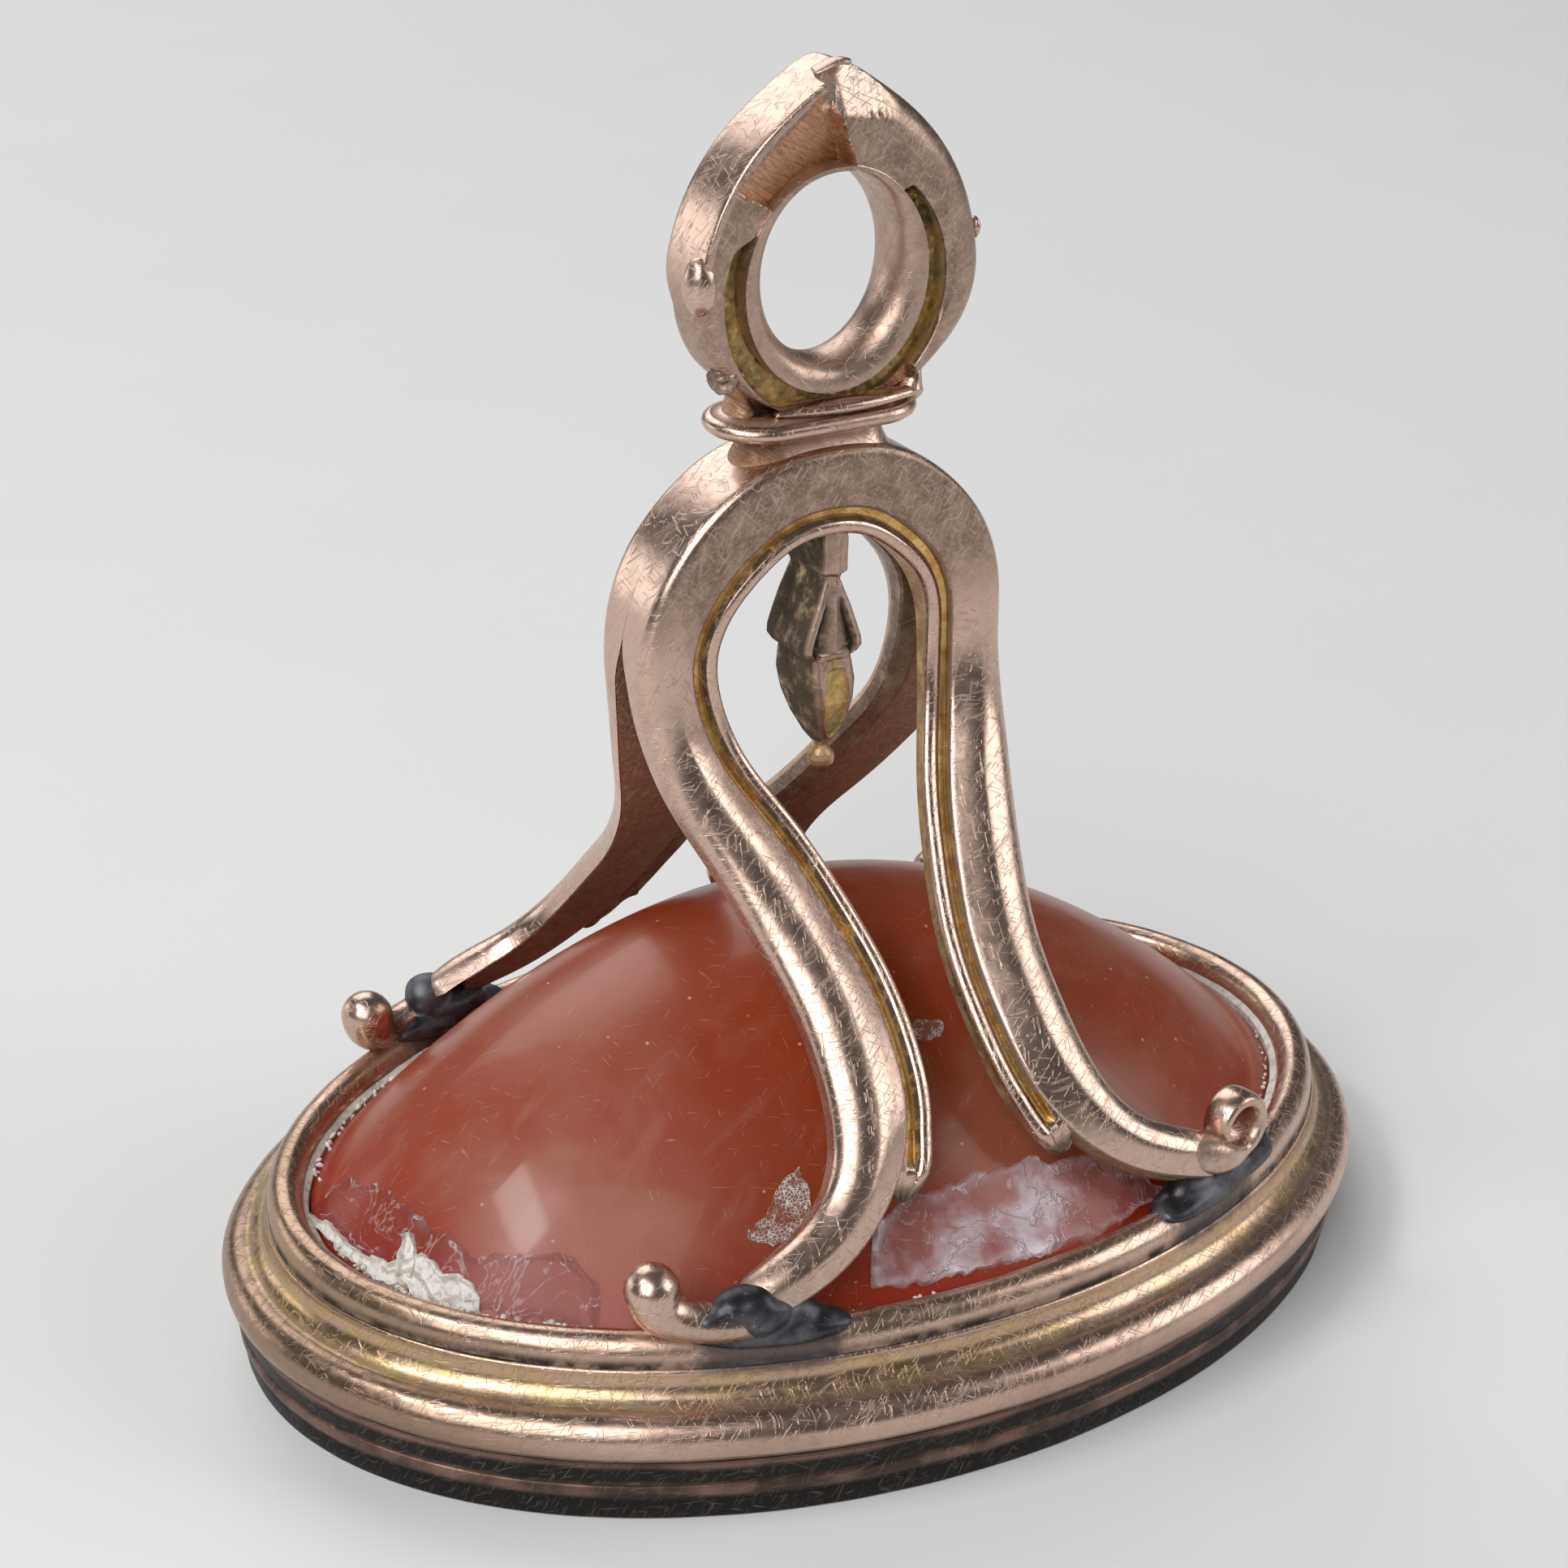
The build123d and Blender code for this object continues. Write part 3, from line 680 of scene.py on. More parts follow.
def put_in_scene(name, data):
    """A new object in the scene's collection."""
    thing = bpy.data.objects.new(name, data)
    bpy.context.scene.collection.objects.link(thing)
    return thing


def settle(name, mesh, material, slot, *nodes, sharp=38):
    """Turns a mesh into a piece that rides on the seal and stands for its nodes."""
    mesh.materials.clear()
    mesh.materials.append(material)
    mesh.shade_smooth()
    mesh.set_sharp_from_angle(angle=math.radians(sharp))
    piece = put_in_scene(name, mesh)
    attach(piece, "root")
    if nodes:
        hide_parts(*nodes)


def bake_geometry(piece):
    """The piece's mesh as its modifiers make it. The piece itself goes."""
    graph = bpy.context.evaluated_depsgraph_get()
    mesh = bpy.data.meshes.new_from_object(piece.evaluated_get(graph))
    bpy.data.objects.remove(piece)
    return mesh


# ---------------------------------------------------------------- node trees


def fill_tree(name, sockets):
    """A new node tree with named inputs, a function that adds nodes to it, and its inputs."""
    tree = bpy.data.node_groups.new(name, "GeometryNodeTree")
    for label, kind in sockets:
        tree.interface.new_socket(label, in_out="INPUT", socket_type="NodeSocket" + kind)
    tree.interface.new_socket("Geometry", in_out="OUTPUT", socket_type="NodeSocketGeometry")

    def node(kind, settings=(), output=0, **sockets):
        """Adds a node. Its sockets go by name, or by number after an underscore."""
        made = tree.nodes.new(kind)
        for key, value in dict(settings).items():
            setattr(made, key, value)
        for key, value in sockets.items():
            socket = made.inputs[int(key[1:])] if key[1:].isdigit() else made.inputs[key.replace("_", " ")]
            if isinstance(value, bpy.types.NodeSocket):
                tree.links.new(value, socket)
            else:
                socket.default_value = value
        return made.outputs[output]

    given = tree.nodes.new("NodeGroupInput").outputs
    return tree, node, given


def close_tree(tree, node, given, geometry):
    """Realize Instances and Set Material end every tree."""
    real = node("GeometryNodeRealizeInstances", Geometry=geometry)
    painted = node("GeometryNodeSetMaterial", Geometry=real, Material=given["Material"])
    tree.links.new(painted, tree.nodes.new("NodeGroupOutput").inputs[0])
    return tree


def run_tree(name, tree, points, edges, values, **marks):
    """The mesh that the tree makes of a line of points, with its faces outwards."""
    line = bpy.data.meshes.new(name + "_line")
    line.from_pydata((np.array(points) * MM).tolist(), edges, [])
    mark_points(line, marks)
    piece = put_in_scene(name + "_line", line)
    modifier = piece.modifiers.new("Tree", "NODES")
    modifier.node_group = tree
    for item in tree.interface.items_tree:
        if item.in_out == "INPUT" and item.name in values:
            modifier[item.identifier] = values[item.name]
    mesh = bake_geometry(piece)
    mesh.name = name
    face_outwards(mesh)
    return mesh


# ---------------------------------------------------------------- the oval base

# Middles of the four feet on the collar
FEET = [(side * 5.6, turn * 7.72) for side in (1, -1) for turn in (1, -1)]
OVAL_STEPS = 360
BEAD_RADIUS = 0.56
# How far the top of the cove lies inside the base's outline
COVE_INSET = 0.98
# How far the middle of the collar's round lies inside that outline, and half its width
COLLAR_INSET, COLLAR_HALF = 1.44, 0.41


def moulding_tree():
    """Sweeps a profile line along the oval, dents it and gives it its material."""
    name = "Oval moulding"
    if name in bpy.data.node_groups:
        return bpy.data.node_groups[name]
    sockets = (
        ("Profile", "Geometry"),
        ("Half length", "Float"),
        ("Half width", "Float"),
        ("Dent depth", "Float"),
        ("Steps", "Int"),
        ("Seed", "Float"),
        ("Material", "Material"),
    )
    tree, node, given = fill_tree(name, sockets)
    circle = node("GeometryNodeCurvePrimitiveCircle", Resolution=given["Steps"], Radius=1.0)
    stretch = node("ShaderNodeCombineXYZ", X=given["Half length"], Y=given["Half width"], Z=1.0)
    oval = node("GeometryNodeTransform", Geometry=circle, Scale=stretch)
    level = node("GeometryNodeSetCurveNormal", {"mode": "Z_UP"}, Curve=oval)
    profile = node("GeometryNodeMeshToCurve", Mesh=given["Profile"])
    swept = node("GeometryNodeCurveToMesh", Curve=level, Profile_Curve=profile)
    where = node("GeometryNodeInputPosition")
    millimetres = node("ShaderNodeVectorMath", {"operation": "SCALE"}, Vector=where, Scale=1 / MM)
    depth = None
    for scale, share in ((0.33, 1.0), (1.3, 0.28)):
        dents = node(
            "ShaderNodeTexNoise",
            {"noise_dimensions": "4D"},
            Vector=millimetres,
            W=given["Seed"],
            Scale=scale,
            Detail=2.0,
        )
        centred = node("ShaderNodeMath", {"operation": "SUBTRACT"}, _0=dents, _1=0.5)
        depth = node("ShaderNodeMath", {"operation": "MULTIPLY_ADD"}, _0=centred, _1=share, _2=depth or 0.0)
    depth = node("ShaderNodeMath", {"operation": "MULTIPLY"}, _0=depth, _1=given["Dent depth"])
    normal = node("GeometryNodeInputNormal")
    push = node("ShaderNodeVectorMath", {"operation": "SCALE"}, Vector=normal, Scale=depth)
    dented = node("GeometryNodeSetPosition", Geometry=swept, Offset=push)
    return close_tree(tree, node, given, dented)


def moulding(name, profile, material, slot, *nodes, dents=1.0, sharp=38, **marks):
    """A closed profile of inset and height points, swept along the oval."""
    # The sweep turns the profile's second axis downwards
    points = [(inset, -height, 0) for inset, height in profile]
    edges = [(i, (i + 1) % len(points)) for i in range(len(points))]
    values = {
        "Half length": HALF_LENGTH * MM,
        "Half width": HALF_WIDTH * MM,
        "Dent depth": sizes().dent_depth * dents * MM * 2,
        "Steps": OVAL_STEPS,
        "Seed": float(sizes().seed),
        "Material": material,
    }
    mesh = run_tree(name, moulding_tree(), points, edges, values, **marks)
    settle(name, mesh, material, slot, *nodes, sharp=sharp)


def arc(middle, radii, start, end, count):
    """Points of an elliptical arc between two angles in degrees."""
    angles = np.radians(np.linspace(start, end, count))
    return [(middle[0] + radii[0] * math.cos(a), middle[1] + radii[1] * math.sin(a)) for a in angles]


def build_base():
    """Rim, band, bezel, collar and the stone's bed."""
    band_low, band_high = (corner.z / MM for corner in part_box("bezel_band"))
    bead_middle = band_high + BEAD_RADIUS
    bead_top = bead_middle + BEAD_RADIUS
    lip_top = COLLAR_LOW.z
    cove_top = lip_top - 0.15
    dark = finish_of("tarnished_band", tarnished_gold)
    gold = finish_of("moulded_gold", moulded_gold)
    putty = finish_of("putty", cement)

    rim = [(-2.75, 0.0), (-0.50, 0.0), (-0.44, 0.02), (-0.42, 0.07)]
    rim += [(-0.42, band_low - 0.07), (-0.45, band_low), (-2.75, band_low)]
    moulding("seal_rim_worn", rim, dark, "rolled_gold", "seal_rim", dents=0.7)

    stripe = band_low + 0.10
    band = [(-0.78, band_low), (-0.36, band_low), (-0.36, band_low + 0.05)]
    band += arc((-0.34, stripe + 0.15), (0.05, 0.14), -70, 90, 9)
    band += [(-0.33, stripe + 0.36), (-0.30, stripe + 0.46), (-0.28, band_high - 0.05)]
    band += [(-0.34, band_high), (-0.78, band_high)]
    moulding("bezel_band_worn", band, dark, "tarnished_band", "bezel_band", dents=0.8)

    shell = [(-0.78, band_high), (-BEAD_RADIUS, band_high)]
    gilt, dirt = [0, 0], [1, 1]
    bead = arc((-BEAD_RADIUS, bead_middle), (BEAD_RADIUS, BEAD_RADIUS), -86, 86, 22)
    shell += bead
    gilt += [0] * len(bead)
    dirt += [1, 0.7, 0.3] + [0] * (len(bead) - 6) + [0, 0.2, 0.45]
    for share in np.linspace(0, 1, 12):
        hollow = math.sin(math.pi * share)
        inset = -BEAD_RADIUS - share * (COVE_INSET - BEAD_RADIUS)
        shell.append((inset - 0.10 * hollow, bead_top + share * (cove_top - bead_top) - 0.07 * hollow))
        gilt.append(1)
        dirt.append(0.35 if share < 0.2 else 0)
    lip = arc((-1.06, lip_top - 0.10), (0.09, 0.09), 0, 90, 5)
    shell += lip
    gilt += [0.3] * len(lip)
    dirt += [0, 0, 0, 0.2, 0.8]
    shell += [(-1.12, lip_top - 0.05), (-1.32, lip_top - 0.05), (-1.32, cove_top), (-0.81, bead_middle)]
    gilt += [0.5] * 4
    dirt += [1] * 4
    moulding("bezel_shell_worn", shell, gold, "rolled_gold", "bezel_shell", sharp=50, gilt=gilt, dirt=dirt)

    middle = lip_top + 0.15
    round_top = arc((-COLLAR_INSET, middle), (COLLAR_HALF, COLLAR_TOP - lip_top - 0.15), -10, 190, 30)
    collar = [(-COLLAR_INSET - COLLAR_HALF, lip_top), (-COLLAR_INSET + COLLAR_HALF, lip_top)] + round_top
    shares = np.linspace(0, 1, len(round_top))
    gilt = [0.6, 0.3, *(0.15 + 0.5 * ease(shares, 0.62, 0.85))]
    dirt = [1, 1, *np.maximum(1 - ease(shares, 0.0, 0.13), ease(shares, 0.86, 0.99))]
    moulding("setting_collar_worn", collar, gold, "rolled_gold", "setting_collar", gilt=gilt, dirt=dirt)

    bed = [(-1.66, lip_top - 0.5), (-1.66, lip_top + 0.06), (-1.86, lip_top + 0.22)]
    bed += [(-1.98, lip_top + 0.12), (-1.98, lip_top - 0.5)]
    moulding("stone_bed", bed, putty, "cement", dents=3.0)
    for name, material in (("base_core", finish_of("lead_solder", soft_solder)), ("stone_cement", putty)):
        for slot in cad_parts[name].material_slots:
            slot.material = material


# ---------------------------------------------------------------- the stone

STONE_SIDES = 256


def dome_height(share):
    """Height of the dome where share is 0 over its middle and 1 at its edge."""
    return COLLAR_LOW.z + (STONE_HIGH.z - COLLAR_LOW.z) * (1 - share**2)


def on_dome(x, y, proud=0.0):
    """The place on the dome above x, y, or a little proud of it."""
    share = math.hypot(x / STONE_LENGTH, y / STONE_WIDTH)
    rise = 2 * (STONE_HIGH.z - COLLAR_LOW.z)
    slope = Vector((rise * x / STONE_LENGTH**2, rise * y / STONE_WIDTH**2, 1)).normalized()
    return Vector((x, y, dome_height(share))) + slope * proud


def build_stone():
    """The dome, its girdle and the plain seal face."""
    angles = full_circle(STONE_SIDES)
    cosines, sines = np.cos(angles), np.sin(angles)
    # Inset and height of the girdle, from the seal face up
    girdle = ((0.83, 0.12), (0.83, 0.45), (0.0, 0.50), (0.0, COLLAR_LOW.z))
    rows = [
        level_ring((STONE_LENGTH - inset) * cosines, (STONE_WIDTH - inset) * sines, height)
        for inset, height in girdle
    ]
    edge = [1.0] * len(girdle)
    for share in np.sin(np.radians(np.linspace(88, 1.2, 70))):
        rows.append(level_ring(STONE_LENGTH * share * cosines, STONE_WIDTH * share * sines, dome_height(share)))
        edge.append(float(ease(share, 0.80, 1.0)))
    mesh = solid("seal_stone_polished", skin(rows, edge=np.array(edge)[:, None]))
    settle("seal_stone_polished", mesh, finish_of("carnelian", carnelian), "carnelian", "seal_stone", sharp=50)


# Corners of each skin of old glue and putty on the dome: the near edge, then the far edge, from left to right
GLUE_SKINS = {
    "glue_front": (
        ((-2.95, -7.42), (-1.39, -7.66), (0.41, -7.80), (2.2, -7.72), (3.7, -7.45), (5.0, -7.12)),
        ((-2.45, -6.62), (-1.35, -6.60), (0.72, -6.58), (2.2, -6.50), (3.4, -6.62), (5.0, -7.00)),
    ),
    "glue_left": (
        ((-11.72, 1.8), (-11.55, -0.5), (-11.15, -2.3), (-10.35, -3.7), (-9.5, -4.65), (-8.4, -5.55)),
        ((-11.1, 1.9), (-10.7, 0.4), (-10.4, -1.7), (-9.7, -3.2), (-8.8, -3.9), (-8.1, -5.0)),
    ),
    "lace_left": (
        ((-5.12, -5.95), (-4.7, -6.18), (-4.2, -6.3), (-3.6, -6.05)),
        ((-5.05, -5.85), (-4.5, -5.72), (-4.0, -5.5), (-3.5, -5.38)),
    ),
    "lace_top": (
        ((0.02, -4.25), (0.25, -4.42), (0.55, -4.38), (0.85, -4.18)),
        ((0.05, -4.1), (0.25, -3.95), (0.55, -3.98), (0.8, -4.08)),
    ),
    "putty_smear": (
        ((-11.86, 1.4), (-11.82, 0.0), (-11.56, -1.5), (-11.08, -2.8), (-10.35, -3.85)),
        ((-11.74, 1.4), (-11.60, -0.1), (-11.22, -1.5), (-10.62, -2.5), (-10.20, -3.60)),
    ),
    "putty_branch": (
        ((-11.18, -2.3), (-10.92, -1.95), (-10.72, -1.5)),
        ((-11.28, -1.9), (-11.06, -1.65), (-10.82, -1.38)),
    ),
}
GLUE_LENGTHWISE, GLUE_CROSSWISE = 70, 24

# Crumbs of putty along the dome's edge: name, start and end in degrees, count and size in mm
CRUMB_SWEEPS = (
    ("left", 178, 224, 90, 0.10),
    ("front", 224, 262, 50, 0.07),
    ("rear_left", 128, 160, 26, 0.10),
    ("right", 318, 345, 18, 0.06),
)
CRUMB_STEPS = 40


def crumb_tree():
    """Scatters broken crumbs of putty along a line."""
    sockets = (("Line", "Geometry"), ("Count", "Int"), ("Size", "Float"), ("Seed", "Int"), ("Material", "Material"))
    tree, node, given = fill_tree("Crumbs", sockets)

    def random_vector(low, high):
        kind = {"data_type": "FLOAT_VECTOR"}
        return node("FunctionNodeRandomValue", kind, Min=low, Max=high, Seed=given["Seed"])

    def scaled(vector, scale):
        return node("ShaderNodeVectorMath", {"operation": "SCALE"}, Vector=vector, Scale=scale)

    line = node("GeometryNodeMeshToCurve", Mesh=given["Line"])
    places = node("GeometryNodeCurveToPoints", {"mode": "COUNT"}, Curve=line, Count=given["Count"])
    spread = scaled(random_vector((-1, -1, -0.5), (1, 1, 0.5)), given["Size"])
    places = node("GeometryNodeSetPosition", Geometry=places, Offset=spread)
    crumb = node("GeometryNodeMeshIcoSphere", Radius=1.0, Subdivisions=2)
    angle = random_vector((0, 0, 0), (6.28, 6.28, 6.28))
    girth = scaled(random_vector((0.25, 0.25, 0.2), (1.3, 1.0, 0.6)), given["Size"])
    crumbs = node("GeometryNodeInstanceOnPoints", Points=places, Instance=crumb, Rotation=angle, Scale=girth)
    real = node("GeometryNodeRealizeInstances", Geometry=crumbs)
    millimetres = scaled(node("GeometryNodeInputPosition"), 1 / MM)
    rough = node("ShaderNodeTexNoise", {}, 1, Vector=millimetres, Scale=5.0, Detail=2.0)
    rough = node("ShaderNodeVectorMath", {"operation": "SUBTRACT"}, _0=rough, _1=(0.5, 0.5, 0.5))
    broken = node("GeometryNodeSetPosition", Geometry=real, Offset=scaled(rough, given["Size"]))
    return close_tree(tree, node, given, broken)


def glue_skin(near, far, thick):
    """A skin on the dome between a near and a far edge, with a ragged border and a raised rim."""
    near, far = (smooth_line([(*place, 0) for place in edge], GLUE_LENGTHWISE) for edge in (near, far))
    last = GLUE_LENGTHWISE - 1
    top, low, edges = [], [], []
    for i in range(GLUE_LENGTHWISE):
        for share in np.linspace(0, 1, GLUE_CROSSWISE):
            x, y = (near[i] + (far[i] - near[i]) * share)[:2]
            ragged = 0.16 * noise.noise(Vector((x * 1.6, y * 1.6, 2.0)))
            ragged += 0.05 * noise.noise(Vector((x * 6, y * 6, 4.0)))
            border = min(min(i, last - i) / last * 6, share, 1 - share)
            rim = float(ease(border, 0, 0.05) * (1 - ease(border, 0.06, 0.20)))
            wrinkle = noise.noise(Vector((x * 2.2, y * 4.0, 5.0)))
            height = thick * (0.5 + 1.6 * rim * (0.7 + wrinkle) + 0.9 * wrinkle)
            top.append(on_dome(x + ragged, y + ragged, max(height, 0.012)))
            low.append(on_dome(x + ragged, y + ragged, -0.01))
            edges.append(rim)
    size = (GLUE_LENGTHWISE, GLUE_CROSSWISE)
    top, low, edges = np.reshape(top, (*size, 3)), np.reshape(low, (*size, 3)), np.reshape(edges, size)
    return skin(np.concatenate([top, low[:, ::-1]], 1), edge=np.concatenate([edges, edges[:, ::-1]], 1))


def build_residue():
    """Old glue on the dome and putty round its left edge."""
    red = {"milk": 0.30, "border": 0.16, "milky_from": 0.54, "clear": RED_GLUE}
    white = finish_of("white_putty", cement, stained=0.0)
    # Finish and thickness in mm of each skin
    finishes = {
        "glue_front": (finish_of("milky_glue", old_glue), 0.055),
        "glue_left": (finish_of("clear_glue", old_glue, **red), 0.04),
        "lace_left": (finish_of("dried_glue", dried_glue), 0.03),
        "lace_top": (finish_of("dried_glue", dried_glue), 0.03),
        "putty_smear": (white, 0.11),
        "putty_branch": (white, 0.11),
    }
    for name, (near, far) in GLUE_SKINS.items():
        material, thick = finishes[name]
        settle(name, solid(name, glue_skin(near, far, thick)), material, "cement")

    putty = finish_of("putty", cement)
    tree = crumb_tree()
    edges = [(i, i + 1) for i in range(CRUMB_STEPS - 1)]
    for place, start, end, count, size in CRUMB_SWEEPS:
        angles = np.radians(np.linspace(start, end, CRUMB_STEPS))
        points = [on_dome(STONE_LENGTH * 0.985 * math.cos(a), STONE_WIDTH * 0.985 * math.sin(a), 0.03) for a in angles]
        values = {"Count": count, "Size": size * MM, "Seed": count, "Material": putty}
        settle("putty_crumbs_" + place, run_tree("crumbs", tree, points, edges, values), putty, "cement")


# ---------------------------------------------------------------- the stirrup

LEG_ROWS = (
    # across, forward, up, width, roundness, pitch
    (0.000, 0.000, 0.958, 0.760, 0.00, 0.00),
    (0.310, 0.000, 0.944, 0.810, 0.00, 0.00),
    (0.550, 0.000, 0.901, 0.820, 0.00, 0.00),
    (0.741, 0.000, 0.840, 0.790, 0.10, 0.00),
    (0.850, 0.002, 0.755, 0.750, 0.55, 0.02),
    (0.851, 0.012, 0.680, 0.750, 0.90, 0.18),
    (0.783, 0.079, 0.587, 0.830, 1.00, 0.70),
    (0.670, 0.199, 0.510, 0.930, 1.00, 0.86),
    (0.558, 0.367, 0.422, 0.980, 1.00, 0.95),
    (0.493, 0.533, 0.348, 1.000, 1.00, 1.00),
    (0.491, 0.687, 0.280, 1.000, 1.00, 0.98),
    (0.538, 0.821, 0.211, 0.955, 1.00, 0.82),
    (0.664, 0.915, 0.151, 0.810, 1.00, 0.73),
    (0.874, 0.976, 0.104, 0.710, 1.00, 0.77),
    (1.206, 1.000, 0.068, 0.640, 1.00, 0.91),
    (1.400, 0.980, 0.040, 0.540, 1.00, 0.95),
)
ARCH_REACH = 4.52
HEAD_DEPTH = 1.08
LEG_DEPTH = 0.86
LEG_WIDTH = 1.76
LEG_PITCH = 44.0
FOOT_FORWARD = 7.957
# Share of the way down at which the leaf tips start, and their length
LEAF_SHARE = 11 / 15
LEAF_LENGTH = 1.55
# Length over which the tube's toes are rounded off
TOE_ROUND = 0.45
# Share of the way down at which the backing strip ends
BACKING_SHARE = 0.935
# Stations along an arch for its tube, its rail and its leaf tips
TUBE_STEPS, RAIL_STEPS, LEAF_STEPS = 320, 420, 1401
# How far a tube and its backing stay clear of the plane between the arches, in mm
TUBE_GAP, BACKING_GAP = 0.004, 0.006
# Heights in mm between which the two arches part
PARTING_LOW, PARTING_HIGH = 15.3, 16.3


def arch_line(count):
    """Both legs and the crown as one line from the left toe to the right toe.

    Its rows are a place, half width, roundness, pitch and share of the way down.
    """
    right = [
        (
            across * ARCH_REACH,
            -HEAD_DEPTH - forward * (FOOT_FORWARD - HEAD_DEPTH),
            COLLAR_TOP + up * (CROWN_TOP - COLLAR_TOP),
            width * LEG_WIDTH / 2,
            roundness,
            math.radians(pitch * LEG_PITCH),
            index / (len(LEG_ROWS) - 1),
        )
        for index, (across, forward, up, width, roundness, pitch) in enumerate(LEG_ROWS)
    ]
    left = [(-row[0], *row[1:6], -row[6]) for row in reversed(right[1:])]
    return smooth_line(left + right, count)


def stations(line):
    """The line's points with the outward, front and along directions of each."""
    points = line[:, :3]
    along = directions(points)
    pitch = line[:, 5]
    front = np.stack([np.zeros(len(line)), -np.cos(pitch), np.sin(pitch)], 1)
    outward = unit(np.cross(front, along))
    front = unit(np.cross(along, outward))
    return points, outward, front, along


def placed(line, sections):
    """Section points, outward and front distances, set at each station of the line."""
    points, outward, front = stations(line)[:3]
    sections = np.asarray(sections)
    return points[:, None] + sections[..., :1] * outward[:, None] + sections[..., 1:2] * front[:, None]


def closing_share(line):
    """1 where the two arches touch, at the head, and 0 where they part."""
    return ease(line[:, 2], PARTING_LOW, PARTING_HIGH)


Tube = namedtuple("Tube", "half roundness depth ridge corner lip")


def tube_sizes(row):
    """The tube's sizes at a station.

    They are its half width, roundness and depth, how far out its ridge lies, how far its outer
    corner falls back from the ridge, and how far its inner lip does.
    """
    half = row[3]
    roundness = min(max(row[4], 0), 1)
    toe = 1 - 0.25 * float(ease(abs(row[6]), 0.90, 1.0))
    depth = (HEAD_DEPTH + roundness * (LEG_DEPTH - HEAD_DEPTH) - 0.26) * toe

    def blend(head, leg):
        return head + roundness * (leg - head)

    return Tube(half, roundness, depth, half * blend(0.50, -0.02), depth * blend(0.42, 0.90), depth * blend(0.10, 0.44))


def bevel_fall(tube, across):
    """How far the front lies behind the ridge at a distance across."""
    bend = 1.1 - tube.roundness * 0.82
    share = np.clip((tube.ridge - across) / (tube.ridge + tube.half), 0, None)
    return tube.lip * (np.sqrt(share**2 + bend**2) - bend) / (math.sqrt(1 + bend**2) - bend)


def tube_section(row):
    """The tube from its outer back corner over the front to its inner back corner."""
    tube = tube_sizes(row)
    half, depth, ridge, corner = tube.half, tube.depth, tube.ridge, tube.corner
    section = [(half - 0.05, -depth), (half - 0.05, -depth - 0.2), (half, -depth - 0.2)]
    section.append((half, -depth * 0.5 - corner * 0.5))
    power = 0.62 + 0.38 * tube.roundness
    for angle in np.radians(np.linspace(0, 90, 15)):
        across = ridge + (half - ridge) * math.cos(angle) ** power
        section.append((across, -corner + corner * math.sin(angle) ** power))
    for share in np.linspace(0, 1, 19)[1:]:
        across = ridge - share * (ridge + half)
        section.append((across, -float(bevel_fall(tube, across) + 0.05 * ease(share, 0.93, 1.0))))
    return section + [(-half, -tube.lip - 0.16), (-half, -depth)]


def build_tube(end, flip):
    """The round hollow tube of an arch, from toe to toe."""
    line = arch_line(TUBE_STEPS)
    tube = leaned(placed(line, [tube_section(row) for row in line]))
    touch = closing_share(line)
    for corner in (1, 2):
        tube[:, corner, 1] += touch * (-TUBE_GAP - tube[:, corner, 1])
    tube[:, :4, 1] = np.minimum(tube[:, :4, 1], -TUBE_GAP)
    far = np.concatenate([[0], np.cumsum(np.linalg.norm(np.diff(line[:, :3], axis=0), axis=1))])
    to_toe = np.minimum(far, far[-1] - far) / TOE_ROUND
    swell = np.sqrt(1 - (1 - np.clip(to_toe, 0.02, 1)) ** 2)[:, None, None]
    centre = tube.mean(axis=1, keepdims=True)
    tube = centre + (tube - centre) * swell
    width = tube.shape[1]
    flat = np.zeros(width)
    flat[12:-3] = 1
    # The head's front faces get the brown mask: partly real browning, partly painted dark reflection
    brown = (1 - ease(line[:, 4], 0.0, 0.75))[:, None] * flat
    down = np.abs(line[:, 6])[:, None] * np.ones(width)
    dirt = ease(down, 0.90, 0.96) * 0.25 + ease(down, 0.965, 0.99) * 0.6
    gilt = np.zeros_like(dirt)
    dirt[:, -3:] = 0.5
    gilt[:, -2:] = 0.8
    mesh = solid(end + "_arch_tube", skin(tube, gilt=gilt, dirt=dirt, brown=brown), turn=flip)
    settle(end + "_arch_tube", mesh, finish_of("worn_gold", worn_gold), "rolled_gold", end + "_arch")


def build_backing(end, flip):
    """The flat strip that closes the tube's back."""
    line = arch_line(TUBE_STEPS)
    kept = np.abs(line[:, 6]) <= BACKING_SHARE
    line = line[kept]
    sections = []
    for tube in map(tube_sizes, line):
        top, low = -tube.depth - 0.004, -tube.depth - 0.215
        inner, outer = -tube.half - 0.02, tube.half - 0.045
        section = [(outer, top), (inner, top), (inner, low + 0.03), (inner + 0.06, low)]
        sections.append(section + [(outer, low), (outer, low + 0.01)])
    strip = leaned(placed(line, sections))
    strip[:, 2:, 1] += closing_share(line)[:, None] * (-BACKING_GAP - strip[:, 2:, 1])
    strip[..., 1] = np.minimum(strip[..., 1], -BACKING_GAP)
    # The backing strip is browned: partly real browning, partly painted shade on the backs seen between the arches
    brown = np.tile([0.0, 0.3, 1, 1, 1, 1], (len(line), 1))
    mesh = solid(end + "_arch_back", skin(strip, brown=brown * 0.8, raw=brown * 0.5, dirt=brown * 0.16), turn=flip)
    material = finish_of("browned_gold", worn_gold, tarnish=1.2, roughness=0.34)
    settle(end + "_arch_back", mesh, material, "recess_gilt", end + "_arch_backing")


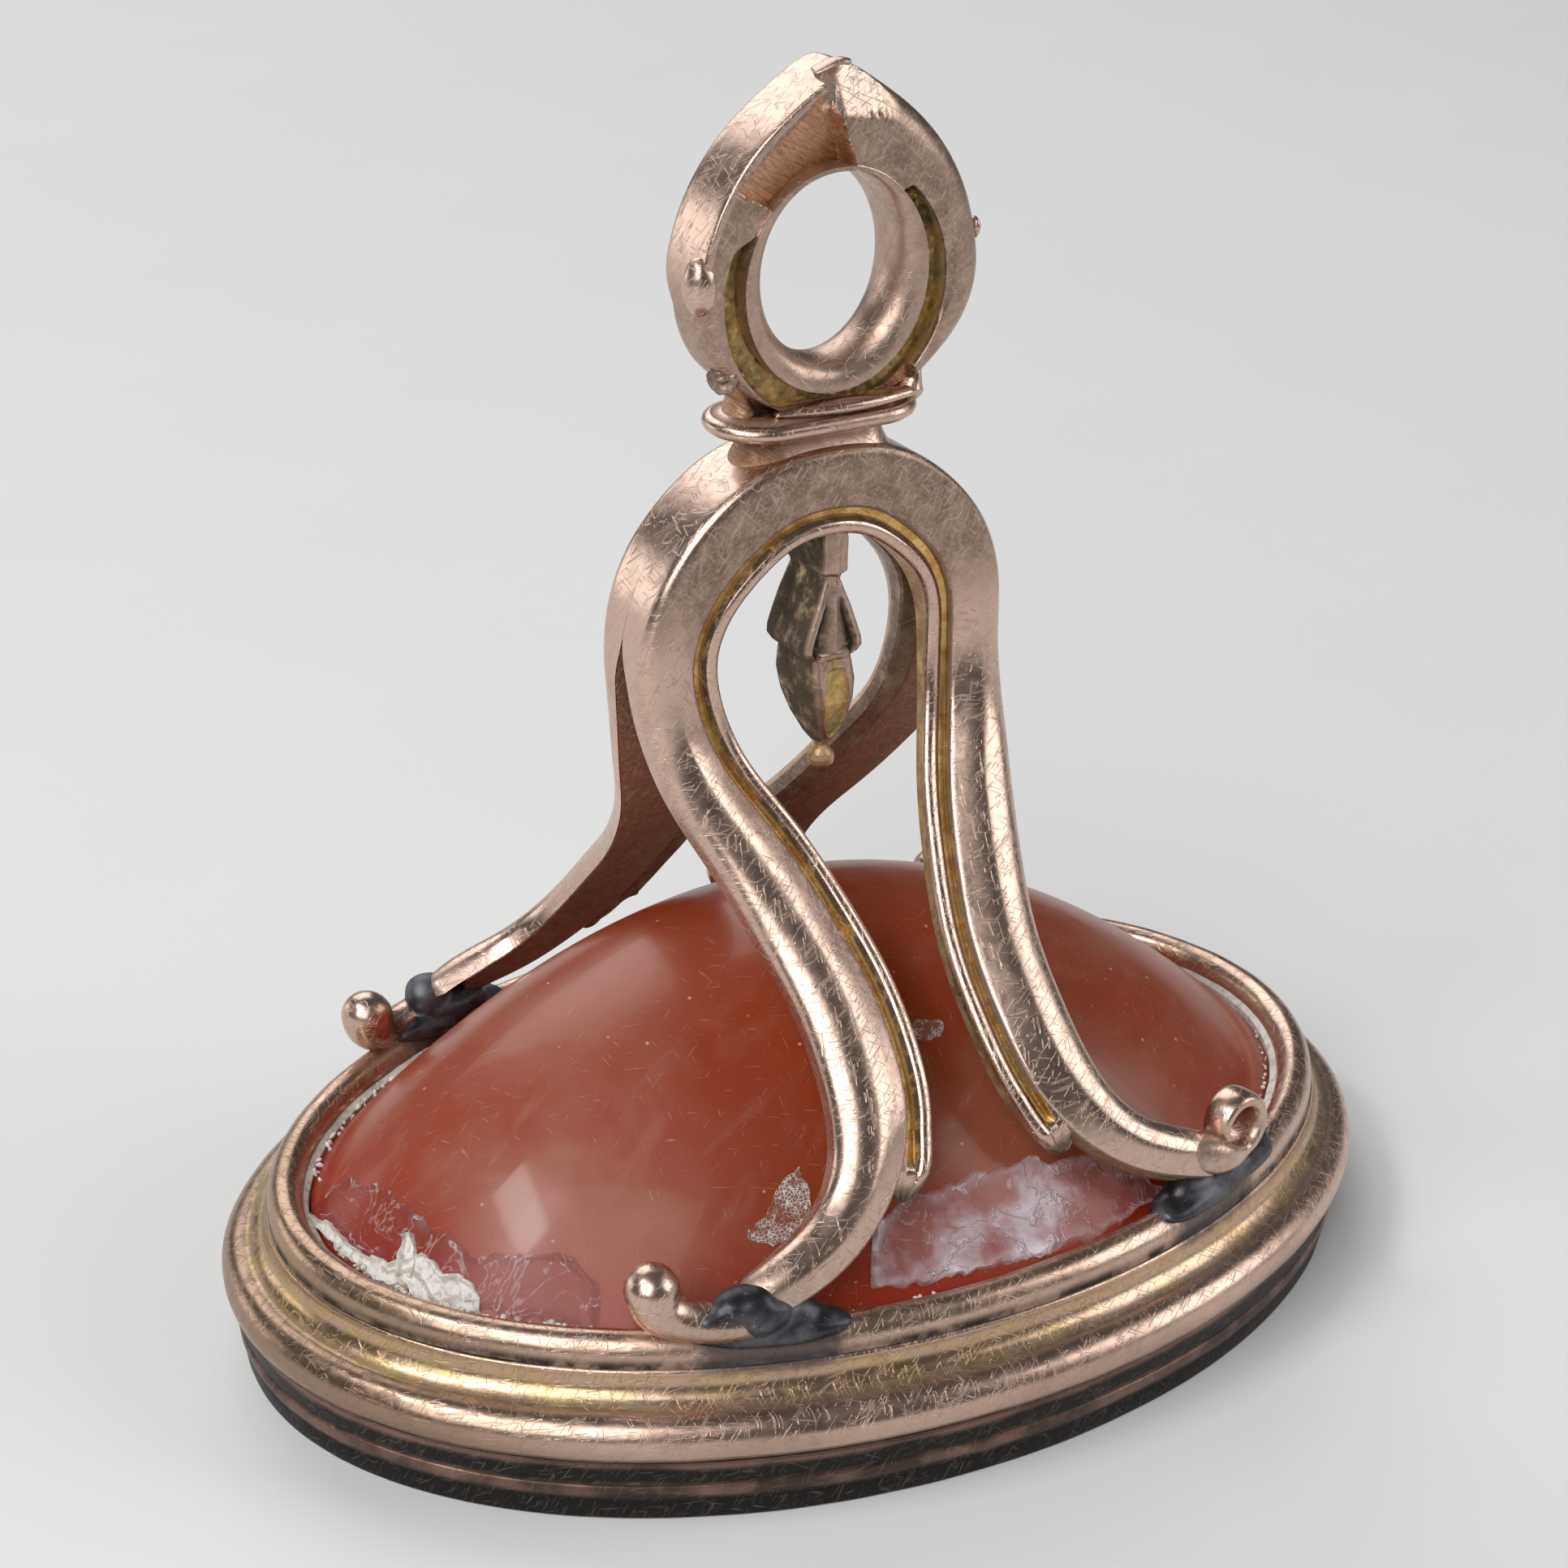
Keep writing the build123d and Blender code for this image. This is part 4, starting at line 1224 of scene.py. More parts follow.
def build_arch(rear):
    """The tube, its backing strip and its channel strip, of the front or the rear arch."""
    end = "rear" if rear else "front"
    flip = (1, -1, 1) if rear else (1, 1, 1)
    build_tube(end, flip)
    build_backing(end, flip)
    mesh = solid(end + "_arch_rail", rail_skin(rear), leaf_skin(1), leaf_skin(-1), turn=flip)
    material = finish_of("rail_gold", worn_gold, tarnish=0.3, roughness=0.22)
    settle(end + "_arch_rail", mesh, material, "recess_gilt", end + "_arch_lining")


def strip_sizes():
    """Width of the channel strip's groove, width of its rail and depth of its groove."""
    return sizes().groove_width, sizes().rail_width, sizes().groove_depth


def rail_top(tube, position, share=1.0):
    """Height of the channel strip at a distance across: its rail, and its groove as deep as share."""
    groove, rail, deep = strip_sizes()
    edge, top = -tube.half - 0.01, -tube.lip - 0.01
    into_rail = (edge - groove - position) / rail
    if into_rail > 0:
        return top - 0.10 + 0.12 * math.sqrt(max(1 - (2 * min(into_rail, 1) - 1) ** 2, 0))
    floor = deep * float(ease(position - (edge - groove), 0.0, 0.07) * (1 - ease(position, edge - 0.02, edge + 0.10)))
    return top - 0.08 * (1 - share) - floor * share


def rail_skin(rear):
    """The channel strip: groove, rail and inner wall."""
    line = arch_line(RAIL_STEPS)
    line = line[np.abs(line[:, 6]) <= LEAF_SHARE + 0.004]
    groove, rail = strip_sizes()[:2]
    sections = []
    for tube in map(tube_sizes, line):
        edge = -tube.half - 0.01
        outer, inner = edge - groove, edge - groove - rail
        across = [edge - groove * share for share in (0.0, 0.35, 0.68, 0.85, 0.999)]
        across += [outer - rail * (1 - math.cos(math.radians(a))) / 2 for a in range(15, 180, 15)]
        section = [(edge, -tube.depth)] + [(x, rail_top(tube, x)) for x in across]
        section += [(inner, -tube.lip - 0.25), (inner, (-tube.lip - tube.depth) / 2), (inner, -tube.depth - 0.12)]
        sections.append(section + [(inner + 0.06, -tube.depth - 0.17), (edge, -tube.depth - 0.17)])
    # The inner walls get the brown mask, and on the rear arch no gilt: partly real browning, partly painted shade
    # inside the arch
    inside = 0.0 if rear else 0.6
    gilt = [1.0, 1, 1, 1, 1, 0.6] + [0] * 10 + [0.2, 0.6 * inside, inside, inside, 0.2, 0.2]
    dirt = [0.0, 0, 0, 0.0, 0.9, 0.9] + [0] * 10 + [0, 0.1, 0.2, 0.3, 0.4, 0.4]
    brown = [0.0] * 16 + [0.3, 0.8, 1, 1, 1, 1]
    return skin(leaned(placed(line, sections)), gilt=gilt, dirt=dirt, brown=brown)


# Rows along a leaf tip, and points across its front and its back
LEAF_ROWS, LEAF_FRONT, LEAF_BACK = 70, 61, 14


def leaf_skin(side):
    """The leaf tip at a leg's inner edge, where the rail turns round the end of the groove.

    The side is 1 for the right leg and -1 for the left one.
    """
    line = arch_line(LEAF_STEPS)
    line = line[line[:, 6] >= 0]
    root = int(np.argmin(np.abs(line[:, 6] - LEAF_SHARE)))
    point, outward, front, along = (rows[root] for rows in stations(line))
    tube = tube_sizes(line[root])
    down = unit(along - outward * 0.03)
    across = unit(np.cross(front, down))
    across = across * np.sign(across @ outward)
    forward = unit(np.cross(down, across))
    forward = forward * np.sign(forward @ front)
    groove, rail = strip_sizes()[:2]
    inner, outer = -tube.half - 0.01 - (groove + rail), -tube.half + 0.34
    bottom = -tube.depth - 0.165
    places, marks = [], []
    for far in np.linspace(-0.06, LEAF_LENGTH, LEAF_ROWS):
        done = max(far, 0) / LEAF_LENGTH
        closing = min(max((done - 0.45) / 0.55, 0), 0.995)
        narrow = math.sqrt(1 - closing**2.2)
        open_share = 1 - float(ease(done, 0.42, 0.60))
        level = -0.003 - 0.34 * float(ease(done, 0.60, 1.05))
        end = float(ease(done, 0.74, 0.92))
        # Its rows are a share across, a height, and how gilt, dirty and brown it is there
        loop = []
        for share in np.linspace(-1, 1, LEAF_FRONT):
            position = (inner + outer) / 2 + share * (outer - inner) / 2
            if position < -tube.half:
                height = rail_top(tube, position, open_share)
            else:
                height = -0.03 - float(bevel_fall(tube, min(position, tube.ridge))) - 0.10 * done
            rounded = 0.10 * (math.sqrt(max(1 - share * share, 0)) - 1) * float(ease(done, 0.3, 0.8))
            in_groove = -tube.half - 0.01 - groove < position < -tube.half + 0.05
            in_crease = -tube.half - 0.02 - groove < position < -tube.half + 0.04 - groove
            soiled = 0.9 if in_crease and done < 0.62 else 0.0
            loop.append((share, height + (level + rounded), in_groove * open_share, max(soiled, 0.6 * end), end))
        for share in np.linspace(1, -1, LEAF_BACK):
            height = bottom + 0.20 * abs(share) ** 3 * float(ease(done, 0, 0.3))
            loop.append((share, height, 0.3, 0.4, 1.0))
        shares, heights, *loop_marks = np.transpose(loop)
        x = (inner + outer) / 2 + 0.20 * done**2 + shares * ((outer - inner) / 2 * narrow)
        centre = (level - tube.lip + bottom) / 2
        y = centre + (heights - centre) * (0.35 + 0.65 * narrow)
        places.append(point + down * far + x[:, None] * across + y[:, None] * forward)
        marks.append(loop_marks)
    gilt, dirt, brown = np.swapaxes(marks, 0, 1)
    return skin(leaned(places) * (side, 1, 1), gilt=gilt, dirt=dirt, brown=brown)


# ---------------------------------------------------------------- scrolls and solder

# The finish of the scrolls and of the plate under the bow
SCROLL_GOLD = {"tarnish": 0.75, "roughness": 0.26}
# A place, half width and half height along a foot's hook
HOOK = (
    (5.40, -7.78, 4.30, 0.26, 0.26),
    (5.78, -7.80, 4.28, 0.34, 0.32),
    (6.30, -7.72, 4.28, 0.40, 0.38),
    (6.90, -7.50, 4.32, 0.44, 0.42),
    (7.44, -7.24, 4.46, 0.50, 0.46),
    (7.84, -7.03, 4.76, 0.60, 0.55),
    (7.95, -6.95, 5.12, 0.62, 0.59),
)
HOOK_STEPS = 60
# The same at the root of the open curl
CURL_ROOT = (
    (5.10, -7.70, 4.90, 0.36, 0.36),
    (5.55, -7.72, 4.80, 0.48, 0.44),
    (6.00, -7.66, 4.66, 0.50, 0.36),
)
# The curl's first angle, its sweep and the angle from row to row, in degrees
CURL_START, CURL_SWEEP, CURL_TURN = -80, 290, 24
CURL_STEPS = 140


def root_dirt(steps, clean, dirty):
    """Dirt at the root of a bar with that many steps: none from ring clean, all up to ring dirty."""
    return ease(np.arange(steps + 2 * len(CAP_ANGLES)), clean, dirty)[:, None]


def build_scrolls():
    """The scroll at each foot: a hook with a ball, and on the front right an open curl."""
    gold = finish_of("scroll_gold", worn_gold, **SCROLL_GOLD)
    sunk = [(x, y, z - 0.32 * float(ease(x, 5.2, 7.6)), wide, high) for x, y, z, wide, high in HOOK]
    for name, rows, turn in (
        ("front_left_scroll", HOOK, (-1, 1, 1)),
        ("rear_left_scroll", sunk, (-1, -1, 1)),
        ("rear_right_scroll", sunk, (1, -1, 1)),
    ):
        hook = bar(rows, (0.42, -0.91, 0), HOOK_STEPS, dirt=root_dirt(HOOK_STEPS, 26, 14) * 0.9)
        settle(name + "_worn", solid(name + "_worn", hook, turn=turn), gold, "rolled_gold", name)

    sideways, middle = np.array((0.98, 0.20, 0)), np.array((6.45, -7.46, 5.26))
    rows = list(CURL_ROOT)
    for angle in range(CURL_START, CURL_START + CURL_SWEEP, CURL_TURN):
        share = (angle - CURL_START) / CURL_SWEEP
        reach = 0.64 - 0.12 * share
        swing = math.radians(angle)
        place = middle + sideways * reach * math.cos(swing) + (0, 0, reach * math.sin(swing))
        rows.append((*place, 0.46 - 0.12 * share, 0.20 - 0.04 * share))
    curl = bar(rows, (0.20, -0.98, 0), CURL_STEPS, 32, 2.6, dirt=root_dirt(CURL_STEPS, 40, 10) * 0.4)
    mesh = solid("front_right_scroll_worn", curl)
    settle("front_right_scroll_worn", mesh, gold, "rolled_gold", "front_right_scroll")


# Size of the blocks in mm that melted lumps are merged in, and how often the result is smoothed
MELT_BLOCK, MELT_PASSES = 0.055, 22


def melted(name, *skins):
    """One smooth mesh of lumps that have run together."""
    mesh = solid(name, *skins)
    mesh.transform(Matrix.Scale(1 / MM, 4))
    piece = put_in_scene(name, mesh)
    merge = piece.modifiers.new("Merge", "REMESH")
    merge.mode = "VOXEL"
    merge.voxel_size = MELT_BLOCK
    soften = piece.modifiers.new("Soften", "SMOOTH")
    soften.factor = 0.5
    soften.iterations = MELT_PASSES
    mesh = bake_geometry(piece)
    mesh.transform(Matrix.Scale(MM, 4))
    return mesh


# Middle, radii, turn in degrees, roughness and seed of the lumps that only one foot has
ODD_LUMPS = (
    ((-5.75, -7.78, 4.42), (0.76, 0.52, 0.42), 22, 0.08, 31),
    ((-6.35, -7.60, 4.62), (0.55, 0.46, 0.36), 22, 0.06, 35),
    ((-6.40, -7.46, 4.52), (0.95, 0.34, 0.26), 22, 0.08, 33),
    ((-4.98, -7.90, 4.00), (0.95, 0.44, 0.30), -14, 0.20, 34),
    ((6.6, -7.46, 4.20), (1.4, 0.52, 0.40), 22, 0.16, 32),
)


def build_solder():
    """Soft solder that floods the collar and the crotch at each foot."""
    lumps = []
    for seed, (side, turn) in enumerate(((1, 1), (1, -1), (-1, 1), (-1, -1)), 1):
        slant = side * turn * -22
        y = turn * 7.66
        parts = (
            ((side * 5.70, y, 3.92), (1.85, 0.56, 0.36)),
            ((side * 5.35, y - turn * 0.02, 4.18), (0.90, 0.54, 0.42)),
            ((side * 6.02, y + turn * 0.02, 4.30), (0.70, 0.50, 0.40)),
            ((side * 4.70, y + turn * 0.20, 3.88), (0.85, 0.46, 0.30)),
        )
        for number, (middle, radii) in enumerate(parts):
            lumps.append(lump(middle, radii, slant, 0.12, seed * 5 + number))
        # The front right foot, with the open curl, has no lump in its crotch
        if (side, turn) != (1, -1):
            lumps.append(lump((side * 6.02, turn * 7.72, 4.56), (0.60, 0.54, 0.48), slant, 0.08, seed + 40))
    lumps += [lump(*odd) for odd in ODD_LUMPS]
    mesh = melted("foot_solder_pools", *lumps)
    settle("foot_solder_pools", mesh, finish_of("lead_solder", soft_solder), "soft_solder", "foot_solder", sharp=60)


# ---------------------------------------------------------------- neck, plate and bow

# Half length, half width and height of the neck's outline
NECK_ROWS = (
    (2.00, 1.00, 19.50), (1.80, 0.90, 19.86), (1.70, 0.76, 20.06),
    (1.66, 0.66, 20.24), (1.74, 0.68, 20.36), (1.90, 0.80, 20.46),
)
# Inset and height of the plate's edge, from below to above
PLATE_PROFILE = (
    (0.60, -0.02), (0.30, 0.00), (0.13, 0.03), (0.04, 0.10), (0.00, 0.19), (0.02, 0.28), (0.09, 0.35),
    (0.18, 0.38), (0.23, 0.36), (0.27, 0.37), (0.38, 0.45), (0.62, 0.50), (0.85, 0.53),
)
# Rows of that profile which hold dirt
PLATE_CREASES = (0, 8, 9)
# A place, half width and half height along the bars under the bow and along the burr on its tip
LEFT_WEDGE = (
    (-2.60, -0.15, 21.90, 0.30, 0.16), (-2.38, -0.12, 21.55, 0.36, 0.20), (-2.18, -0.05, 21.25, 0.34, 0.20),
    (-2.12, 0.00, 21.04, 0.40, 0.26), (-2.10, 0.0, 20.86, 0.46, 0.34),
)
RIGHT_WEDGE = (
    (2.14, -0.05, 21.45, 0.32, 0.12), (2.04, -0.05, 21.28, 0.44, 0.20),
    (1.96, -0.05, 21.02, 0.52, 0.30), (1.92, -0.05, 20.88, 0.58, 0.38),
)
FILLET = (
    (-1.60, -0.72, 20.93, 0.12, 0.06), (-0.9, -0.78, 20.94, 0.24, 0.13),
    (1.0, -0.78, 20.95, 0.28, 0.15), (1.60, -0.70, 20.94, 0.18, 0.12),
)
BURR = (
    (-0.55, -0.20, 27.86, 0.20, 0.05), (-0.28, -0.28, 27.98, 0.22, 0.07),
    (-0.05, -0.36, 28.04, 0.18, 0.08), (0.10, -0.42, 28.02, 0.12, 0.07),
)
REARWARDS = (0, 1, 0)
STADIUM_SIDES = 96


def stadium(half_length, half_width, height):
    """A level outline with round ends."""
    # The small turn keeps the points off the middle, where the two ends part
    angles = full_circle(STADIUM_SIDES) + 0.001
    x = np.sign(np.cos(angles)) * (half_length - half_width) + half_width * np.cos(angles)
    return level_ring(x, half_width * np.sin(angles), height)


def build_neck():
    """The neck under the plate, the plate with its beaded edge and the wedges under the bow."""
    rows = [stadium(*row) for row in NECK_ROWS]
    dirt = np.array([0.2, 0.2, 0.35, 0.6, 0.3, 0.2])[:, None]
    raw = ease(-np.array(rows)[..., 0], 0.9, 1.2)
    mesh = solid("neck_stem", skin(leaned(rows), raw=raw, dirt=dirt * (0.3 + raw)))
    settle("neck_stem", mesh, finish_of("neck_gold", worn_gold, tarnish=0.5), "rolled_gold", "neck_lower")

    length, width = PLATE_HIGH.x, PLATE_HIGH.y
    rows = [stadium(length - inset, width - inset, PLATE_LOW.z + height) for inset, height in PLATE_PROFILE]
    dirt = np.isin(np.arange(len(rows)), PLATE_CREASES)[:, None] * 0.6
    mesh = solid("neck_plate", skin(leaned(rows), dirt=dirt))
    gold = finish_of("scroll_gold", worn_gold, **SCROLL_GOLD)
    settle("neck_plate", mesh, gold, "rolled_gold", "neck_collar", sharp=60)

    left = bar(LEFT_WEDGE, REARWARDS, 30, raw=0.9, dirt=0.15)
    broken = lump((-2.66, -0.42, 21.78), (0.34, 0.36, 0.30), 20, 0.55, 11, brown=1.0, dirt=0.35)
    mesh = solid("bow_wedges", left, broken, bar(RIGHT_WEDGE, REARWARDS, 30), bar(FILLET, REARWARDS, 40))
    settle("bow_wedges", mesh, finish_of("worn_gold", worn_gold), "rolled_gold", "neck_upper", sharp=60)


# The right half of the bow's outline, across from its middle and above the plate
BOW_OUTLINE = (
    (1.22, -0.04), (1.90, 0.18), (2.42, 0.53), (2.95, 1.00), (3.32, 1.60), (3.50, 2.43), (3.42, 3.20),
    (3.18, 4.05), (2.72, 4.94), (2.30, 5.48), (1.50, 6.20), (0.78, 6.70), (0.22, 7.00), (0.00, 7.06),
)
OUTLINE_STEPS = 400
BOW_STEPS = 480
BOW_DEPTH = 0.80


def bow_outline(angles):
    """How far the bow's outline lies from its middle, at angles in radians from the right."""
    middle = BOW_MIDDLE - PLATE_TOP
    rows = [(x, 0, z, 0) for x, z in BOW_OUTLINE]
    half = smooth_line(rows, OUTLINE_STEPS)[:, [0, 2]]
    half = half - (0, middle)
    bearing = np.arctan2(half[:, 1], half[:, 0])
    reach = np.hypot(half[:, 0], half[:, 1])
    folded = np.where(np.cos(angles) >= 0, angles, math.pi - angles)
    folded = np.arctan2(np.sin(folded), np.cos(folded))
    flat = middle / np.maximum(-np.sin(angles), 1e-6)
    below = folded < bearing[0]
    return np.where(below, flat, np.interp(folded, bearing, reach))


def oval_reach(angles, across, lift, half_width, half_height):
    """How far an oval lies from the bow's middle. Its centre is off to one side by across and lift."""
    cosine, sine = np.cos(angles), np.sin(angles)
    a = (cosine / half_width) ** 2 + (sine / half_height) ** 2
    b = -2 * (across * cosine / half_width**2 + lift * sine / half_height**2)
    c = (across / half_width) ** 2 + (lift / half_height) ** 2 - 1
    return (-b + np.sqrt(b * b - 4 * a * c)) / (2 * a)


def filed(places):
    """Files the two facets under the tip, copper on the left and bright on the right, and gives their masks."""
    x, y, z = places[..., 0], places[..., 1], places[..., 2]
    # Distance inside the left ridge, which runs down from the tip
    start, end = np.array((-0.45, 27.72)), np.array((-2.62, 25.85))
    run = unit(end - start)
    along = (x - start[0]) * run[0] + (z - start[1]) * run[1]
    inside = (x - start[0]) * -run[1] + (z - start[1]) * run[0]
    limit = -BOW_DEPTH + 0.05 + 0.34 * inside - 1.8 * ease(along + 0.45 * inside, 2.9, 3.5)
    limit = limit - 2.0 * ease(x - 0.35 * (27.0 - z), -0.30, 0.0)
    cut = (y < limit) & (along > -0.4) & (inside > 0.02)
    copper = np.where(cut, ease(limit - y, 0.0, 0.05), 0.0)
    y = np.where(cut, limit, y)
    plane = -BOW_DEPTH + 0.62 * (z - 26.98) + 0.10 * np.abs(x + 0.1)
    tip = (z > 26.95) & (x > -0.62) & (y < plane)
    bright = np.where(tip, ease(plane - y, 0.0, 0.05), 0.0)
    y = np.where(tip, plane, y)
    return np.stack([x, y, z], -1), copper * (1 - bright), (1 - copper) * (1 - bright)


def round_bow(angle, section):
    """A section's points, reach from the bow's middle and depth, at an angle round the bow."""
    reach, depth = np.transpose(section)
    return np.stack([reach * math.cos(angle), depth, reach * math.sin(angle) + BOW_MIDDLE], 1)


def bow_ring(angles, liner):
    """The skin of the bow's two stamped halves with their channels."""
    outline = bow_outline(angles)
    channel = oval_reach(angles, -0.22, -0.25, 2.68, 2.70)
    bearing = np.degrees(angles) % 360
    # The channel is closed over the top of the hole
    channel = liner + (channel - liner) * (1 - ease(bearing, 47, 52) * (1 - ease(bearing, 150, 164)))
    gap = ease(channel - liner, 0.0, 0.12)
    wall = ease(outline - channel, 0.02, 0.25)
    channel = np.clip(channel, liner + 0.01, outline - 0.02)
    below = ease(bearing, 215, 245) * (1 - ease(bearing, 295, 325))
    # The filed ridge runs up the left limb, from the stud to the tip
    crisp = ease(bearing, 84, 92) * (1 - ease(bearing, 170, 188))
    # Dirt has filled the channel at the upper right
    grimy = 0.85 * (ease(bearing, 4, 22) * (1 - ease(bearing, 60, 75)) + 0.4 * ease(bearing, 325, 345))
    deep = sizes().channel_depth
    rows, marks = [], []
    for i, angle in enumerate(angles):
        ridge = (0.17 * crisp[i] + 0.80 * (1 - crisp[i])) * (1 - 0.85 * below[i])
        face = max(outline[i] - ridge, channel[i] + 0.03)
        power = 2 / (2.2 + 6.0 * crisp[i])
        # Its rows are a reach, a depth, and how gilt, dirty and brown it is there
        section = []
        for degrees in np.linspace(0, 90, 14):
            turn = math.radians(degrees)
            reach = face + (outline[i] - face) * math.cos(turn) ** power
            # The front faces, and the channel's walls below, get the brown mask: partly real browning, partly painted
            # dark reflection
            brown = max(0.3 * (degrees > 70), 0.75 * (1 - crisp[i]))
            section.append((reach, -BOW_DEPTH * math.sin(turn) ** power, 0, 0, brown))
        for share in np.linspace(0.05, 1, 22):
            sag = 0.06 * share**2
            depth = -(BOW_DEPTH - sag) * wall[i] - (BOW_DEPTH - deep) * (1 - wall[i])
            section.append((face + (channel[i] - face) * share, depth, 0, 0, 0.9))
        floor = -(BOW_DEPTH - deep * gap[i] - 0.02)
        top = -(BOW_DEPTH - 0.06) * wall[i] - (BOW_DEPTH - deep) * (1 - wall[i])
        for share in (0.35, 1.0):
            section.append((channel[i] - 0.02, top + (floor - top) * share, gap[i], max(0.45, grimy[i]) * gap[i], 0))
        for share in (0.18, 0.36, 0.54, 0.72, 0.9):
            crumbs = noise.noise(Vector((math.cos(angle) * 16, math.sin(angle) * 16, share * 3)))
            soiled = max(0.12 + 0.3 * share, grimy[i]) + 0.9 * max(crumbs - 0.12, 0)
            reach = channel[i] + (liner[i] - channel[i]) * share - 0.02
            depth = floor - gap[i] * (0.02 + 0.07 * crumbs)
            section.append((reach, depth, gap[i], gap[i] * min(soiled, 1), 0))
        section.append((liner[i] - 0.03, floor, gap[i], 0.8 * gap[i], 0))
        front = np.array(section)
        loop = np.concatenate([front, front[:0:-1] * (1, -1, 1, 1, 1)])
        rows.append(round_bow(angle, loop[:, :2]))
        marks.append(loop[:, 2:])
    rows = np.array(rows)
    gilt, dirt, brown = np.moveaxis(marks, 2, 0)
    # The brown, partly painted dark reflection, stays off the filed facets
    raw, unfiled = np.zeros(rows.shape[:2]), np.ones(rows.shape[:2])
    width = len(front)
    rows[:, :width], raw[:, :width], unfiled[:, :width] = filed(rows[:, :width])
    return skin(rows, ring=True, gilt=gilt, dirt=dirt, brown=brown * unfiled, raw=raw)


def liner_ring(angles, liner):
    """The skin of the hole's lining, which swells towards the hole."""
    crest = oval_reach(angles, -0.24, 0.24, 1.61, 2.00)
    rows = []
    for angle, outer, inner in zip(angles, liner, crest):
        lip = outer - 0.11
        section = [(outer, 0.70), (outer, -0.70), (outer - 0.02, -0.79), (lip, -0.80)]
        for turn in np.radians(np.linspace(8, 172, 22)):
            section.append((lip - (lip - inner) * math.sin(turn) ** 0.8, -0.79 * math.cos(turn)))
        rows.append(round_bow(angle, section + [(lip, 0.80), (outer - 0.02, 0.79)]))
    return skin(rows, ring=True, brown=0.4, dirt=0.08)


def build_bow():
    """The bow's two stamped halves with the burr on the tip, the liner and the studs."""
    angles = full_circle(BOW_STEPS) + math.pi / 2
    liner = oval_reach(angles, -0.22, -0.05, 2.22, 2.40)
    gold = finish_of("bow_gold", worn_gold, tarnish=0.55, roughness=0.25, deep_gilding=GREEN_GILDING)
    mesh = solid("bow_shells", bow_ring(angles, liner), bar(BURR, REARWARDS, 24, dirt=0.1))
    settle("bow_shells", mesh, gold, "rolled_gold", "bow_front_shell", "bow_rear_shell", sharp=32)
    settle("bow_liner_worn", solid("bow_liner_worn", liner_ring(angles, liner)), gold, "rolled_gold", "bow_liner")
    left = lump((-3.34, -0.52, 23.84), (0.36, 0.38, 0.62), 0, 0.05, 21)
    right = lump((3.52, -0.10, 24.10), (0.13, 0.22, 0.24), 0, 0.15, 22)
    settle("bow_studs_worn", solid("bow_studs_worn", left, right), gold, "rolled_gold", "bow_studs")


# ---------------------------------------------------------------- the drop

# Height, half thickness, half depth and squareness of the drop, from its hanger down to the bead
DROP_ROWS = (
    (18.30, 0.20, 0.80, 5), (18.16, 0.30, 0.88, 8), (17.95, 0.33, 0.90, 9), (17.55, 0.32, 0.90, 9),
    (17.22, 0.33, 0.90, 8), (17.12, 0.24, 0.80, 7), (17.02, 0.22, 0.78, 6), (16.80, 0.30, 0.78, 7),
    (16.40, 0.46, 0.84, 8), (15.95, 0.62, 0.86, 9), (15.60, 0.74, 0.87, 9), (15.42, 0.76, 0.86, 9),
    (15.30, 0.70, 0.83, 7), (15.18, 0.56, 0.80, 5), (15.00, 0.58, 0.84, 5), (14.60, 0.64, 0.87, 4.5),
    (14.10, 0.60, 0.82, 4), (13.60, 0.47, 0.67, 3.6), (13.15, 0.29, 0.44, 3), (12.90, 0.14, 0.20, 2.4),
    (12.84, 0.12, 0.14, 2), (12.78, 0.20, 0.20, 2), (12.66, 0.28, 0.28, 2), (12.53, 0.30, 0.30, 2),
    (12.40, 0.27, 0.27, 2), (12.30, 0.18, 0.18, 2), (12.25, 0.05, 0.05, 2),
)
# Height and half width of the raised blade on the drop's front
DROP_BLADE = ((13.0, 0.0), (13.4, 0.20), (14.0, 0.36), (14.6, 0.42), (15.2, 0.40), (16.0, 0.25), (16.9, 0.05))
DROP_STEPS, DROP_SIDES = 260, 120
# How far the drop hangs to the right of the leaning crown's middle
DROP_SHIFT = 0.22


